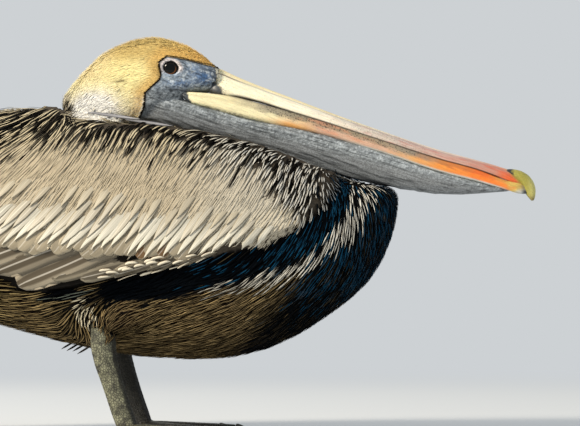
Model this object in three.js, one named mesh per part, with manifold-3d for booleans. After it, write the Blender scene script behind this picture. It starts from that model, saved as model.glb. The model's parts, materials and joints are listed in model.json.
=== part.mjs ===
// A brown pelican at rest, life size, in millimetres. +X is forward, +Z is up, the bird's right side is -Y.
// It stands level on both webbed feet with the neck folded and the bill laid on the foreneck.
// Every outline is that of the plumage, out to the feather tips.
import * as THREE from "three";
import { LoftGeometry } from "three/addons/geometries/LoftGeometry.js";
import { mergeVertices } from "three/addons/utils/BufferGeometryUtils.js";
import Module from "manifold-3d";

const wasm = await Module();
wasm.setup();

const JOINT_GAP = 0.35; // left between neighbouring pieces
const MERGE_WITHIN = 1e-3;
const RIGHT = -1;
const LEFT = 1;

const EYE = { x: 20.3, y: 21.5, z: 333.6, radius: 8.4 };
const LEG_SPREAD = 55; // from the midline to each foot
const STRIDE = { [RIGHT]: 0, [LEFT]: 11 }; // the left foot stands a little further forward
const ANKLE = { x: -39.8, z: 83 };
const HEEL = { x: -18 };
const WEB_THICKNESS = 2.6;
const ANKLE_OF_FOOT = 14; // height at which the foot parts from the shank

// Toes as they spread on the ground. turn is outwards from straight ahead, in degrees.
// length is without the claw.
const TOES = [
  { name: "hind", turn: -78, length: 33, root: 4.6, tip: 3.0 },
  { name: "inner", turn: -27, length: 64, root: 5.2, tip: 3.2 },
  { name: "middle", turn: 4, length: 86, root: 5.6, tip: 3.4 },
  { name: "outer", turn: 33, length: 84, root: 5.2, tip: 3.2 },
];
const CLAW = { length: 13, drop: 2.4 };
const WEB_SCALLOP = 0.86; // how far the web's free edge reaches between two toe tips

// A body along X: each station gives its highest and lowest line, half its width,
// and the height of its widest line.
const TRUNK = [
  { x: -284, top: 152, bottom: 138, half: 20, widest: 143 },
  { x: -268, top: 165, bottom: 133, half: 34, widest: 149 },
  { x: -240, top: 190, bottom: 127, half: 46, widest: 159 },
  { x: -205, top: 224, bottom: 119, half: 57, widest: 170 },
  { x: -165, top: 262, bottom: 107.5, half: 70, widest: 181 },
  { x: -110, top: 289, bottom: 92, half: 83, widest: 187 },
  { x: -62, top: 292, bottom: 79.5, half: 91, widest: 188 },
  { x: -10, top: 283, bottom: 70.5, half: 95, widest: 186 },
  { x: 47, top: 267, bottom: 67.6, half: 97, widest: 182 },
  { x: 90, top: 256, bottom: 71.5, half: 95, widest: 181 },
  { x: 130, top: 245, bottom: 86.5, half: 89, widest: 183 },
  { x: 166, top: 236, bottom: 109, half: 77, widest: 187 },
  { x: 190, top: 231, bottom: 128, half: 61, widest: 192 },
  { x: 208, top: 227, bottom: 148, half: 47, widest: 198 },
  { x: 220, top: 224, bottom: 173, half: 34, widest: 203 },
  { x: 226, top: 217, bottom: 195, half: 15, widest: 206 },
];
// The outer face of the folded wings and the feathers that cover the back.
const WING_COVER = [
  { x: -356, top: 150, bottom: 100, half: 16, widest: 132 },
  { x: -340, top: 162, bottom: 90, half: 27, widest: 136 },
  { x: -300, top: 197, bottom: 80, half: 47, widest: 146 },
  { x: -260, top: 232, bottom: 70, half: 65, widest: 158 },
  { x: -220, top: 262, bottom: 70, half: 80, widest: 170 },
  { x: -180, top: 284, bottom: 70, half: 92, widest: 180 },
  { x: -136, top: 298, bottom: 70, half: 101, widest: 186 },
  { x: -84, top: 309, bottom: 66, half: 108, widest: 188 },
  { x: -45, top: 302.5, bottom: 60, half: 111.5, widest: 187 },
  { x: 10, top: 292, bottom: 56, half: 113, widest: 185 },
  { x: 70, top: 279.5, bottom: 56, half: 110.5, widest: 182 },
  { x: 110, top: 267.5, bottom: 64, half: 104, widest: 182 },
  { x: 140, top: 254, bottom: 82, half: 94.5, widest: 184 },
  { x: 166, top: 244, bottom: 100, half: 83, widest: 188 },
  { x: 184, top: 238, bottom: 118, half: 71, widest: 194 },
];
const HEAD = [
  { x: -78, top: 309, bottom: 297, half: 9, widest: 303 },
  { x: -71, top: 319, bottom: 289, half: 20, widest: 305 },
  { x: -60, top: 332, bottom: 284, half: 28.5, widest: 307 },
  { x: -43, top: 347, bottom: 280, half: 34.5, widest: 309 },
  { x: -22, top: 358, bottom: 279, half: 37, widest: 312 },
  { x: 0, top: 363, bottom: 283, half: 35.5, widest: 316 },
  { x: 20, top: 360.7, bottom: 298, half: 30.5, widest: 322 },
  { x: 42, top: 352.5, bottom: 310, half: 25.5, widest: 324 },
  { x: 57, top: 341.5, bottom: 312.3, half: 22.5, widest: 324 },
  { x: 64, top: 334.8, bottom: 313.5, half: 20.5, widest: 323 },
];
const UPPER_BILL = [
  { x: 58, top: 336, bottom: 312.2, half: 21.5, widest: 320 },
  { x: 78, top: 327.5, bottom: 309.4, half: 19.5, widest: 313 },
  { x: 95, top: 320.5, bottom: 305.6, half: 18, widest: 308.5 },
  { x: 129, top: 308, bottom: 295.4, half: 16, widest: 298 },
  { x: 165, top: 294.3, bottom: 285.7, half: 14.8, widest: 287.6 },
  { x: 212, top: 278, bottom: 269.9, half: 13.8, widest: 271.8 },
  { x: 270, top: 258.7, bottom: 250.8, half: 13.8, widest: 252.8 },
  { x: 300, top: 250.4, bottom: 242.6, half: 13.4, widest: 244.6 },
  { x: 320, top: 244.6, bottom: 234.6, half: 11.8, widest: 238 },
  { x: 334, top: 240.8, bottom: 231.4, half: 8.6, widest: 235 },
];
const LOWER_BILL = [
  { x: 31, top: 312.6, bottom: 305.5, half: 24, widest: 309 },
  { x: 50, top: 311.6, bottom: 299.6, half: 23.5, widest: 306 },
  { x: 75, top: 309, bottom: 292.2, half: 21.5, widest: 301 },
  { x: 111, top: 300, bottom: 283.8, half: 18.8, widest: 293 },
  { x: 147, top: 289.8, bottom: 277.5, half: 17, widest: 284 },
  { x: 212, top: 269.2, bottom: 258.6, half: 15.2, widest: 264 },
  { x: 264, top: 252.2, bottom: 240.8, half: 14.6, widest: 246.5 },
  { x: 303, top: 241.2, bottom: 231.3, half: 13, widest: 236 },
  { x: 327, top: 231, bottom: 223.8, half: 10, widest: 227.5 },
  { x: 342, top: 228.6, bottom: 219.3, half: 6.2, widest: 223 },
  { x: 347, top: 224.5, bottom: 219.6, half: 3, widest: 221.5 },
];
const POUCH = [
  { x: -9, top: 300, bottom: 284, half: 26, widest: 296 },
  { x: 16, top: 309, bottom: 275.5, half: 28.5, widest: 301 },
  { x: 38, top: 305, bottom: 270.3, half: 25.5, widest: 298 },
  { x: 75, top: 294, bottom: 261.5, half: 21.8, widest: 287 },
  { x: 111, top: 285.5, bottom: 252.5, half: 19.2, widest: 279 },
  { x: 147, top: 279, bottom: 243.2, half: 17.6, widest: 272 },
  { x: 180, top: 269.5, bottom: 234.4, half: 16.6, widest: 263 },
  { x: 212, top: 259.5, bottom: 227.2, half: 15.8, widest: 253 },
  { x: 253, top: 245, bottom: 220.4, half: 14.6, widest: 239 },
  { x: 281, top: 237, bottom: 218.8, half: 13, widest: 232 },
  { x: 306, top: 230.4, bottom: 220.4, half: 10, widest: 226.5 },
  { x: 331, top: 223.8, bottom: 222.2, half: 5, widest: 223 },
];
const TAIL = [
  { x: -232, top: 164, bottom: 150, half: 30, widest: 156 },
  { x: -270, top: 149.5, bottom: 139, half: 44, widest: 144 },
  { x: -310, top: 133.5, bottom: 125, half: 56, widest: 128.5 },
  { x: -338, top: 124, bottom: 118.4, half: 60, widest: 120.8 },
  { x: -349, top: 120.4, bottom: 116.4, half: 48, widest: 118.2 },
  { x: -355, top: 118.4, bottom: 115.6, half: 22, widest: 116.8 },
];

// A limb or other part along a free path: each station gives its centre,
// and its radius across and along the view from the side.
const NECK = [
  { at: [-24, 0, 318], across: 31, along: 34 },
  { at: [-40, 0, 300], across: 34, along: 36 },
  { at: [-50, 0, 278], across: 36, along: 33 },
  { at: [-46, 0, 252], across: 36, along: 32 },
];
const NAIL = [
  { at: [327, 0, 239.4], across: 5.5, along: 2.6 },
  { at: [336.5, 0, 237], across: 7.4, along: 4.8 },
  { at: [344.6, 0, 231.2], across: 6.8, along: 6.2 },
  { at: [348.6, 0, 223.6], across: 5, along: 5.6 },
  { at: [350.6, 0, 217], across: 2.6, along: 3 },
  { at: [351.2, 0, 213.8], across: 0.8, along: 0.9 },
];
const THIGH = [
  { at: [8, 52, 142], across: 30, along: 40 },
  { at: [-16, 57, 124], across: 25, along: 33 },
  { at: [-33, 57, 108], across: 17, along: 20 },
  { at: [-41, 55, 98], across: 10, along: 12.4 },
];
const TARSUS = [
  { at: [-40, 55, 97.4], across: 7.4, along: 11.2 },
  { at: [ANKLE.x, 55, ANKLE.z], across: 8.6, along: 11.6 },
  { at: [-38.6, 55, 71], across: 7.6, along: 10.6 },
  { at: [-33, 55, 52], across: 6, along: 9.6 },
  { at: [-26.5, 55, 32], across: 6, along: 9.2 },
  { at: [-21.5, 55, 17], across: 6.8, along: 9.4 },
  { at: [HEEL.x, 55, 8.6], across: 7.6, along: 8.8 },
];

// The folded wing seen from the side. Each edge is a smooth line through its points, as x and z.
const LEADING_EDGE = [[176, 262], [172, 238], [163, 216], [146, 198], [126, 185], [104, 176], [76, 168]];
const OUTER_SECONDARY = [
  [76, 168], [38, 156.5], [-17, 144], [-62, 134], [-95, 129.5], [-112, 130.6], [-119.5, 138], [-121, 146.4],
];
const INNER_SECONDARY = [[-121, 146.4], [-150, 141], [-176, 136.6], [-190, 138], [-195, 147]];
const PRIMARY_EDGE = [
  [-195, 147], [-240, 141], [-290, 133.6], [-335, 127], [-349, 126.6], [-355, 131], [-354, 141], [-340, 170],
];
const COVERT_TIPS = [
  [104, 150], [62, 160], [38, 160.5], [17, 163.5], [-30, 167], [-86, 169.5],
  [-136, 175], [-176, 186], [-208, 206], [-236, 236], [-262, 290],
];
const SECONDARY_TIPS = [[-180, 120], [-197, 152], [-222, 178], [-243, 198], [-270, 222], [-300, 260]];
// From above, the edge of the folded wing beside the neck and back: x, and half the space between the wings.
const WING_INNER_EDGE = [
  [190, 24], [166, 27], [110, 34], [50, 40], [-20, 47],
  [-70, 46], [-100, 36], [-130, 20], [-158, 5], [-176, -3],
];

const SECONDARY_STEP = 3; // how far each layer of flight feathers lies under the one above it
const PRIMARY_STEP = 6;

// A three.js geometry as a solid that can be joined and cut.
function solid(geometry) {
  const bare = geometry.index ? geometry.toNonIndexed() : geometry.clone();
  bare.deleteAttribute("normal");
  bare.deleteAttribute("uv");
  const merged = mergeVertices(bare, MERGE_WITHIN);
  const vertProperties = merged.attributes.position.array;
  const triVerts = new Uint32Array(merged.index.array);
  return new wasm.Manifold(new wasm.Mesh({ numProp: 3, vertProperties, triVerts }));
}

function geometryOf(made) {
  const mesh = made.getMesh();
  const geometry = new THREE.BufferGeometry();
  geometry.setAttribute("position", new THREE.BufferAttribute(new Float32Array(mesh.vertProperties), 3));
  geometry.setIndex(new THREE.BufferAttribute(new Uint32Array(mesh.triVerts), 1));
  geometry.computeVertexNormals();
  return geometry;
}

// The biggest body of a cut solid, without the slivers that a cut leaves.
function mainBody(made) {
  const bodies = made.decompose();
  return bodies.reduce((a, b) => (b.volume() > a.volume() ? b : a));
}

const rounded = (value, power) => Math.sign(value) * Math.abs(value) ** power;

// Stations as two smooth curves that share a parameter: centres, and sizes.
function smooth(centres, sizes) {
  const centre = new THREE.CatmullRomCurve3(centres, false, "centripetal");
  const size = new THREE.CatmullRomCurve3(sizes, false, "catmullrom", 0.5);
  return (t) => ({ centre: centre.getPoint(t), size: size.getPoint(t) });
}

// A body along X from its stations, grown outwards by grow. Each ring lies across X.
function bodyAlongX(stations, { rings, sides, square = 1, grow = 0 }) {
  const at = smooth(
    stations.map((s) => new THREE.Vector3(s.x, 0, s.widest)),
    stations.map((s) => new THREE.Vector3(s.half, s.top, s.bottom)),
  );
  // rings wind the other way on a body drawn backwards
  const way = Math.sign(stations.at(-1).x - stations[0].x);
  const sections = [];
  for (let i = 0; i <= rings; i++) {
    const { centre, size } = at(i / rings);
    const end = (i === 0 ? -1 : i === rings ? 1 : 0) * way;
    const ring = [];
    for (let j = 0; j < sides; j++) {
      const angle = ((j + 0.5) / sides) * Math.PI * 2 * way;
      const rise = Math.sin(angle) > 0 ? size.y - centre.z + grow : centre.z - size.z + grow;
      ring.push(new THREE.Vector3(
        centre.x + end * grow,
        rounded(Math.cos(angle), square) * (size.x + grow),
        centre.z + rounded(Math.sin(angle), square) * rise,
      ));
    }
    sections.push(ring);
  }
  return solid(new LoftGeometry(sections, { capStart: true, capEnd: true }));
}

// A limb along a path of stations in a plane of constant Y, on one side of the body, moved forward by ahead.
function limb(stations, { rings, sides, side = LEFT, ahead = 0, grow = 0 }) {
  const at = smooth(
    stations.map((s) => new THREE.Vector3(s.at[0] + ahead, s.at[1] * side, s.at[2])),
    stations.map((s) => new THREE.Vector3(s.across, s.along, 0)),
  );
  const sections = [];
  const step = 0.5 / rings;
  for (let i = 0; i <= rings; i++) {
    const t = i / rings;
    const { centre, size } = at(t);
    const tangent = at(Math.min(1, t + step)).centre.sub(at(Math.max(0, t - step)).centre).normalize();
    const beside = new THREE.Vector3(0, 1, 0);
    const front = new THREE.Vector3().crossVectors(tangent, beside).normalize();
    const end = i === 0 ? -1 : i === rings ? 1 : 0;
    centre.addScaledVector(tangent, end * grow);
    const ring = [];
    for (let j = 0; j < sides; j++) {
      const angle = ((j + 0.5) / sides) * Math.PI * 2;
      ring.push(centre.clone()
        .addScaledVector(beside, Math.cos(angle) * (size.x + grow))
        .addScaledVector(front, Math.sin(angle) * (size.y + grow)));
    }
    sections.push(ring);
  }
  return solid(new LoftGeometry(sections, { capStart: true, capEnd: true }));
}

// All that lies on one side of a plane, within reach of the bird.
function halfSpace(point, normal, shift = 0) {
  const reach = 900;
  const box = new THREE.BoxGeometry(reach, reach, reach);
  const away = new THREE.Vector3(...normal).normalize();
  const turn = new THREE.Quaternion().setFromUnitVectors(new THREE.Vector3(0, 0, 1), away);
  box.applyQuaternion(turn);
  box.translate(...away.clone().multiplyScalar(reach / 2 + shift).add(new THREE.Vector3(...point)).toArray());
  return solid(box);
}

// A solid parted by planes into pieces, from its start to its end along the planes' normals.
function partedBy(whole, planes) {
  const pieces = [];
  let rest = whole;
  for (const { point, normal } of planes) {
    pieces.push(mainBody(rest.subtract(halfSpace(point, normal, -JOINT_GAP / 2))));
    rest = mainBody(rest.intersect(halfSpace(point, normal, JOINT_GAP / 2)));
  }
  pieces.push(rest);
  return pieces;
}

const without = (whole, ...others) => mainBody(others.reduce((left, other) => left.subtract(other), whole));

// A flat outline: smooth curves, each through its own points,
// then straight lines round the rest and back to the start.
function outline(curves, corners) {
  const shape = new THREE.Shape();
  shape.moveTo(...curves[0][0]);
  for (const curve of curves) {
    shape.splineThru(curve.slice(1).map(([x, y]) => new THREE.Vector2(x, y)));
  }
  for (const [x, y] of corners) shape.lineTo(x, y);
  shape.closePath();
  return shape;
}

const SIDE_DEPTH = 160; // from the midplane past the widest part of a wing
const BACK_HEIGHT = 400; // from the floor past the top of the back
const OUTLINE_STEPS = 2;

// A side outline pushed from the midplane out to one side.
function sideSlab(shape, side) {
  const slab = new THREE.ExtrudeGeometry(shape, {
    depth: SIDE_DEPTH,
    bevelEnabled: false,
    curveSegments: OUTLINE_STEPS,
  });
  slab.rotateX(Math.PI / 2);
  slab.translate(0, side === LEFT ? SIDE_DEPTH + JOINT_GAP / 2 : -JOINT_GAP / 2, 0);
  return solid(slab);
}

const grown = { grow: JOINT_GAP };
const makers = {
  head: (more) => bodyAlongX(HEAD, { rings: 12, sides: 18, ...more }),
  upperBill: (more) => bodyAlongX(UPPER_BILL, { rings: 11, sides: 9, square: 0.8, ...more }),
  lowerBill: (more) => bodyAlongX(LOWER_BILL, { rings: 11, sides: 9, square: 0.75, ...more }),
  pouch: (more) => bodyAlongX(POUCH, { rings: 12, sides: 11, ...more }),
  trunk: (more) => bodyAlongX(TRUNK, { rings: 19, sides: 24, ...more }),
  tail: (more) => bodyAlongX(TAIL, { rings: 6, sides: 12, ...more }),
  neck: (more) => limb(NECK, { rings: 4, sides: 12, ...more }),
  nail: (more) => limb(NAIL, { rings: 8, sides: 8, ...more }),
};

function eyeBall(side, extra = 0) {
  const ball = new THREE.SphereGeometry(EYE.radius + extra, 10, 7);
  ball.rotateX(Math.PI / 2);
  ball.translate(EYE.x, EYE.y * side, EYE.z);
  return solid(ball);
}

function thigh(side, more) {
  return limb(THIGH, { rings: 6, sides: 12, side, ahead: STRIDE[side], ...more });
}

function tarsus(side, more) {
  return limb(TARSUS, { rings: 8, sides: 9, side, ahead: STRIDE[side], ...more });
}

// Which way a toe points, and the way across it.
function toeWay(toe, side) {
  const turn = THREE.MathUtils.degToRad(toe.turn) * side;
  return {
    ahead: new THREE.Vector3(Math.cos(turn), Math.sin(turn), 0),
    beside: new THREE.Vector3(-Math.sin(turn), Math.cos(turn), 0),
  };
}

// The point along a toe, at a share of its length, on the ground.
function toePoint(toe, share, side) {
  const heel = new THREE.Vector3(HEEL.x + STRIDE[side], side * LEG_SPREAD, 0);
  return heel.addScaledVector(toeWay(toe, side).ahead, toe.length * share);
}

// A toe with a flat sole: a tapering rounded bar from the heel to the claw.
function toeBar(toe, side) {
  const { beside } = toeWay(toe, side);
  const rings = 3;
  const sides = 7;
  const sections = [];
  for (let i = 0; i <= rings; i++) {
    const share = i / rings;
    const knuckle = 1 + 0.08 * Math.cos(share * Math.PI * 6);
    const radius = THREE.MathUtils.lerp(toe.root, toe.tip, share) * knuckle;
    const centre = toePoint(toe, share, side);
    const ring = [];
    for (let j = 0; j < sides; j++) {
      const angle = ((j + 0.5) / sides) * Math.PI * 2;
      const point = centre.clone().addScaledVector(beside, Math.cos(angle) * radius);
      point.z = Math.max(0, radius * 0.82 + Math.sin(angle) * radius);
      ring.push(point);
    }
    sections.push(ring);
  }
  return solid(new LoftGeometry(sections, { capStart: true, capEnd: true }));
}

// The web from toe to toe, its free edges drawn in between the tips.
function web(side) {
  const shape = new THREE.Shape();
  const heel = toePoint(TOES[0], 0, side);
  const tips = TOES.map((toe) => toePoint(toe, 0.97, side));
  shape.moveTo(heel.x - 5, heel.y - side * 2);
  shape.lineTo(tips[0].x, tips[0].y);
  for (let i = 1; i < tips.length; i++) {
    const between = tips[i - 1].clone().add(tips[i]).multiplyScalar(0.5);
    const pulled = heel.clone().lerp(between, WEB_SCALLOP);
    shape.quadraticCurveTo(pulled.x, pulled.y, tips[i].x, tips[i].y);
  }
  shape.lineTo(heel.x - 5, heel.y + side * 3);
  shape.closePath();
  return solid(new THREE.ExtrudeGeometry(shape, {
    depth: WEB_THICKNESS,
    bevelEnabled: false,
    curveSegments: 3,
  }));
}

function foot(side) {
  return TOES.map((toe) => toeBar(toe, side)).reduce((all, toe) => all.add(toe), web(side));
}

function claw(toe, side) {
  const root = toePoint(toe, 1, side);
  const { ahead, beside } = toeWay(toe, side);
  const rings = 4;
  const sides = 6;
  const sections = [];
  for (let i = 0; i <= rings; i++) {
    const share = i / rings;
    const radius = THREE.MathUtils.lerp(toe.tip * 0.72, 0.35, share ** 1.2);
    const rise = THREE.MathUtils.lerp(toe.tip * 0.9, 0, share) + CLAW.drop * Math.sin(share * Math.PI) * 0.6;
    const ring = [];
    for (let j = 0; j < sides; j++) {
      const angle = ((j + 0.5) / sides) * Math.PI * 2;
      const point = root.clone().addScaledVector(ahead, JOINT_GAP + share * CLAW.length);
      point.addScaledVector(beside, Math.cos(angle) * radius);
      point.z = Math.max(0.2, rise + radius + Math.sin(angle) * radius);
      ring.push(point);
    }
    sections.push(ring);
  }
  return solid(new LoftGeometry(sections, { capStart: true, capEnd: true }));
}

const finish = (color, roughness) => new THREE.MeshStandardMaterial({ color, roughness, metalness: 0 });
const FINISHES = {
  crown: finish("#d9b96b", 0.85),
  body: finish("#4a4034", 0.85),
  breast: finish("#1c2226", 0.8),
  coverts: finish("#b7ab99", 0.8),
  secondaries: finish("#8d8577", 0.7),
  primaries: finish("#2b2724", 0.65),
  tail: finish("#77716a", 0.7),
  pouch: finish("#5f6468", 0.5),
  bill: finish("#d8cfae", 0.4),
  nail: finish("#a9a24a", 0.35),
  eye: finish("#1a120c", 0.08),
  leg: finish("#8a8465", 0.55),
  claw: finish("#2d2a26", 0.4),
};

const pelican = new THREE.Group();
pelican.name = "brown_pelican";

function place(name, made, material) {
  const mesh = new THREE.Mesh(geometryOf(made), material);
  mesh.name = name;
  pelican.add(mesh);
}

const SIDES = [["right", RIGHT], ["left", LEFT]];
const eyesGrown = SIDES.map(([, side]) => eyeBall(side, JOINT_GAP));
const nailGrown = makers.nail(grown);
const upperGrown = makers.upperBill(grown);
const lowerGrown = makers.lowerBill(grown);
const headGrown = makers.head(grown);
const pouchGrown = makers.pouch(grown);
const neckGrown = makers.neck(grown);
const tailGrown = makers.tail(grown);
const trunkGrown = makers.trunk(grown);

// head and bill
for (const [name, side] of SIDES) place(`eye_${name}`, eyeBall(side), FINISHES.eye);
place("bill_nail", makers.nail(), FINISHES.nail);
place("bill_upper", without(makers.upperBill(), nailGrown), FINISHES.bill);
place("bill_lower", without(makers.lowerBill(), nailGrown, upperGrown), FINISHES.bill);
const headPieces = without(makers.head(), ...eyesGrown, upperGrown, lowerGrown);
const [nape, crown] = partedBy(headPieces, [{ point: [-44, 0, 320], normal: [0.9, 0, 0.35] }]);
place("head_nape", nape, FINISHES.crown);
place("head", crown, FINISHES.crown);
place("pouch", without(makers.pouch(), headGrown, lowerGrown, nailGrown, upperGrown), FINISHES.pouch);
place("neck_upper", without(makers.neck(), headGrown, pouchGrown, trunkGrown), FINISHES.crown);

// tail
place("tail", without(makers.tail(), trunkGrown), FINISHES.tail);

// trunk, from the rump forward to the folded lower neck
const trunkWhole = without(makers.trunk(), headGrown, pouchGrown);
const [rump, belly, breast] = partedBy(trunkWhole, [
  { point: [-150, 0, 190], normal: [1, 0, 0.15] },
  { point: [60, 0, 160], normal: [1, 0, 0.25] },
]);
const [chest, lowerNeck] = partedBy(breast, [{ point: [172, 0, 200], normal: [0.62, 0, 0.78] }]);
place("rump", rump, FINISHES.body);
place("trunk", belly, FINISHES.body);
place("breast", chest, FINISHES.breast);
place("neck_lower", lowerNeck, FINISHES.breast);

// wings
const wingEdges = [LEADING_EDGE, OUTER_SECONDARY, INNER_SECONDARY, PRIMARY_EDGE];
const wingOutline = outline(wingEdges, [[-340, 330], [176, 330]]);
const covertField = outline([COVERT_TIPS], [[-262, 340], [190, 340], [190, 150]]);
const primaryField = outline([SECONDARY_TIPS], [[-380, 260], [-380, 90], [-180, 90]]);

// The space outside a wing's inner edge, on one side, as seen from above.
function besideBack(side) {
  const edge = WING_INNER_EDGE.map(([x, y]) => [x, y * side]);
  const far = [[-360, -3], [-360, 150], [190, 150]].map(([x, y]) => [x, y * side]);
  const shape = outline([edge], far);
  return solid(new THREE.ExtrudeGeometry(shape, {
    depth: BACK_HEIGHT,
    bevelEnabled: false,
    curveSegments: OUTLINE_STEPS,
  }));
}

// A field's edge moved by the joint gap, to keep two layers of the wing apart.
function apart(shape, dx, dz) {
  return (side) => sideSlab(shape, side).translate([dx, 0, dz]);
}

function coverOf(step) {
  return bodyAlongX(WING_COVER, { rings: 16, sides: 24, square: 0.94, grow: -step });
}

for (const [name, side] of SIDES) {
  const field = sideSlab(wingOutline, side).intersect(besideBack(side));
  const bodyBelow = [trunkGrown, tailGrown, headGrown, pouchGrown, neckGrown];
  const coverts = sideSlab(covertField, side);
  const primaries = sideSlab(primaryField, side);
  const covertZone = apart(covertField, -JOINT_GAP, -JOINT_GAP)(side);
  const primaryZone = apart(primaryField, JOINT_GAP, JOINT_GAP)(side);
  const laid = (layer) => without(layer.intersect(field), ...bodyBelow);
  const covertLayer = coverOf(0).intersect(coverts);
  const secondaryLayer = coverOf(SECONDARY_STEP).subtract(covertZone).subtract(primaryZone);
  const primaryLayer = coverOf(PRIMARY_STEP).intersect(primaries).subtract(covertZone);
  place(`wing_${name}_coverts`, laid(covertLayer), FINISHES.coverts);
  place(`wing_${name}_secondaries`, laid(secondaryLayer), FINISHES.secondaries);
  place(`wing_${name}_primaries`, laid(primaryLayer), FINISHES.primaries);
}

// legs
for (const [name, side] of SIDES) {
  place(`thigh_${name}`, without(thigh(side), trunkGrown, tarsus(side, grown)), FINISHES.body);
  const shank = without(tarsus(side), trunkGrown);
  const ankleCut = { point: [0, 0, ANKLE_OF_FOOT], normal: [0, 0, 1] };
  const [webbed, leg] = partedBy(foot(side).add(shank), [ankleCut]);
  place(`foot_${name}`, webbed, FINISHES.leg);
  place(`leg_${name}`, leg, FINISHES.leg);
  for (const toe of TOES) place(`claw_${name}_${toe.name}`, claw(toe, side), FINISHES.claw);
}

export default pelican;
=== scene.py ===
import json
import math

import bmesh
import bpy
import numpy as np
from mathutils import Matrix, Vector, noise
from mathutils.bvhtree import BVHTree
from mathutils.kdtree import KDTree

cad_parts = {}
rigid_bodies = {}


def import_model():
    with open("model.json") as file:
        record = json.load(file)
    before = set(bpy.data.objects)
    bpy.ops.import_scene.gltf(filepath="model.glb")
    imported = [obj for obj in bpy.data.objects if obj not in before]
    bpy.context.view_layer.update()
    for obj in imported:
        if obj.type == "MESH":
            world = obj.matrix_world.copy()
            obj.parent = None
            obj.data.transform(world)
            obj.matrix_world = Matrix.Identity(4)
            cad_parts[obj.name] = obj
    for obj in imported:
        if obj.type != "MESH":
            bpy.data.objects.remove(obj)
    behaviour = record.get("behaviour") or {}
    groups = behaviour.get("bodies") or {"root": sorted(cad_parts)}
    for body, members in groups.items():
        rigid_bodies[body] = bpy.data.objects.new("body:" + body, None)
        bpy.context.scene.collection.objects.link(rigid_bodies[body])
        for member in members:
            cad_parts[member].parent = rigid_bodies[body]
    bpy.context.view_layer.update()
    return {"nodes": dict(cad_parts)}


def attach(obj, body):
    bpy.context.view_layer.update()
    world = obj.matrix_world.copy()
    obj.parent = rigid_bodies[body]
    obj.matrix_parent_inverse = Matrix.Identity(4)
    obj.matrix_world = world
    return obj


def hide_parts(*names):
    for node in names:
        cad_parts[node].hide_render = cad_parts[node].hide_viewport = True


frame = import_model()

mm = 0.001
rightSide, leftSide = -1, 1
sides = {"right": rightSide, "left": leftSide}


def hexToLinear(code):
    # an sRGB hex code as linear red, green and blue
    values = [int(code[i:i + 2], 16) / 255 for i in (1, 3, 5)]
    return np.array([v / 12.92 if v <= 0.04045 else ((v + 0.055) / 1.055) ** 2.4 for v in values])


def colour(code):
    return (*hexToLinear(code), 1.0)


def smoothStep(low, high, x):
    t = np.clip((x - low) / (high - low), 0, 1)
    return t * t * (3 - 2 * t)


def mix(a, b, share):
    # from colour a, where the share is 0, to colour b, where it is 1
    share = np.asarray(share)[..., None]
    return a * (1 - share) + b * share


def layered(base, *layers):
    # colours laid over a base one after another, each with its share
    for over, share in layers:
        base = mix(base, over, share)
    return base


def bell(x, middle, reach):
    # 1 at the middle, falling away smoothly on both sides
    return np.exp(-((x - middle) / reach) ** 2)


def spot(x, z, midX, midZ, reachX, reachZ):
    # 1 at a middle, falling away smoothly all round it
    return np.exp(-(((x - midX) / reachX) ** 2 + ((z - midZ) / reachZ) ** 2))


def unit(v):
    return v / np.maximum(np.linalg.norm(v, axis=-1, keepdims=True), 1e-9)


def inPolygon(points, polygon):
    # true for each (x, z) inside the outline
    inside = np.zeros(len(points), bool)
    x, z = points[:, 0], points[:, 1]
    for (x0, z0), (x1, z1) in zip(polygon, polygon[1:] + polygon[:1]):
        crosses = (z0 > z) != (z1 > z)
        inside ^= crosses & (x < (x1 - x0) * (z - z0) / (z1 - z0 if z1 != z0 else 1e-9) + x0)
    return inside


def distanceToLine(points, line):
    # the shortest way from each (x, z) to an open line of points
    best = np.full(len(points), 1e9)
    for a, b in zip(line, line[1:]):
        a, b = np.array(a, float), np.array(b, float)
        along = np.clip(((points - a) @ (b - a)) / ((b - a) @ (b - a)), 0, 1)
        best = np.minimum(best, np.linalg.norm(points - a - along[:, None] * (b - a), axis=1))
    return best


def heightOf(line, x):
    # z of a line of (x, z) points, given in rising x
    return np.interp(x, [p[0] for p in line], [p[1] for p in line])


def deselectAll():
    for o in bpy.context.scene.objects:
        o.select_set(False)


def activate(o):
    deselectAll()
    o.select_set(True)
    bpy.context.view_layer.objects.active = o


def newObject(name, mesh):
    o = bpy.data.objects.new(name, mesh)
    bpy.context.scene.collection.objects.link(o)
    return o


def applyModifier(o, kind, **settings):
    activate(o)
    made = o.modifiers.new(kind.title(), kind)
    for key, value in settings.items():
        setattr(made, key, value)
    bpy.ops.object.modifier_apply(modifier=made.name)


def vertexArray(o):
    flat = np.zeros(len(o.data.vertices) * 3)
    o.data.vertices.foreach_get("co", flat)
    return flat.reshape(-1, 3) / mm


def setVertices(o, points):
    o.data.vertices.foreach_set("co", (points * mm).ravel())
    o.data.update()


def normalArray(o):
    flat = np.zeros(len(o.data.vertices) * 3, np.float32)
    o.data.vertex_normals.foreach_get("vector", flat)
    return flat.reshape(-1, 3).astype(float)


def finishPiece(o, slot, *nodes, smooth=True):
    if smooth:
        o.data.polygons.foreach_set("use_smooth", [True] * len(o.data.polygons))
    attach(o, "root")
    if nodes:
        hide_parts(*nodes)
    return o


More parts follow.
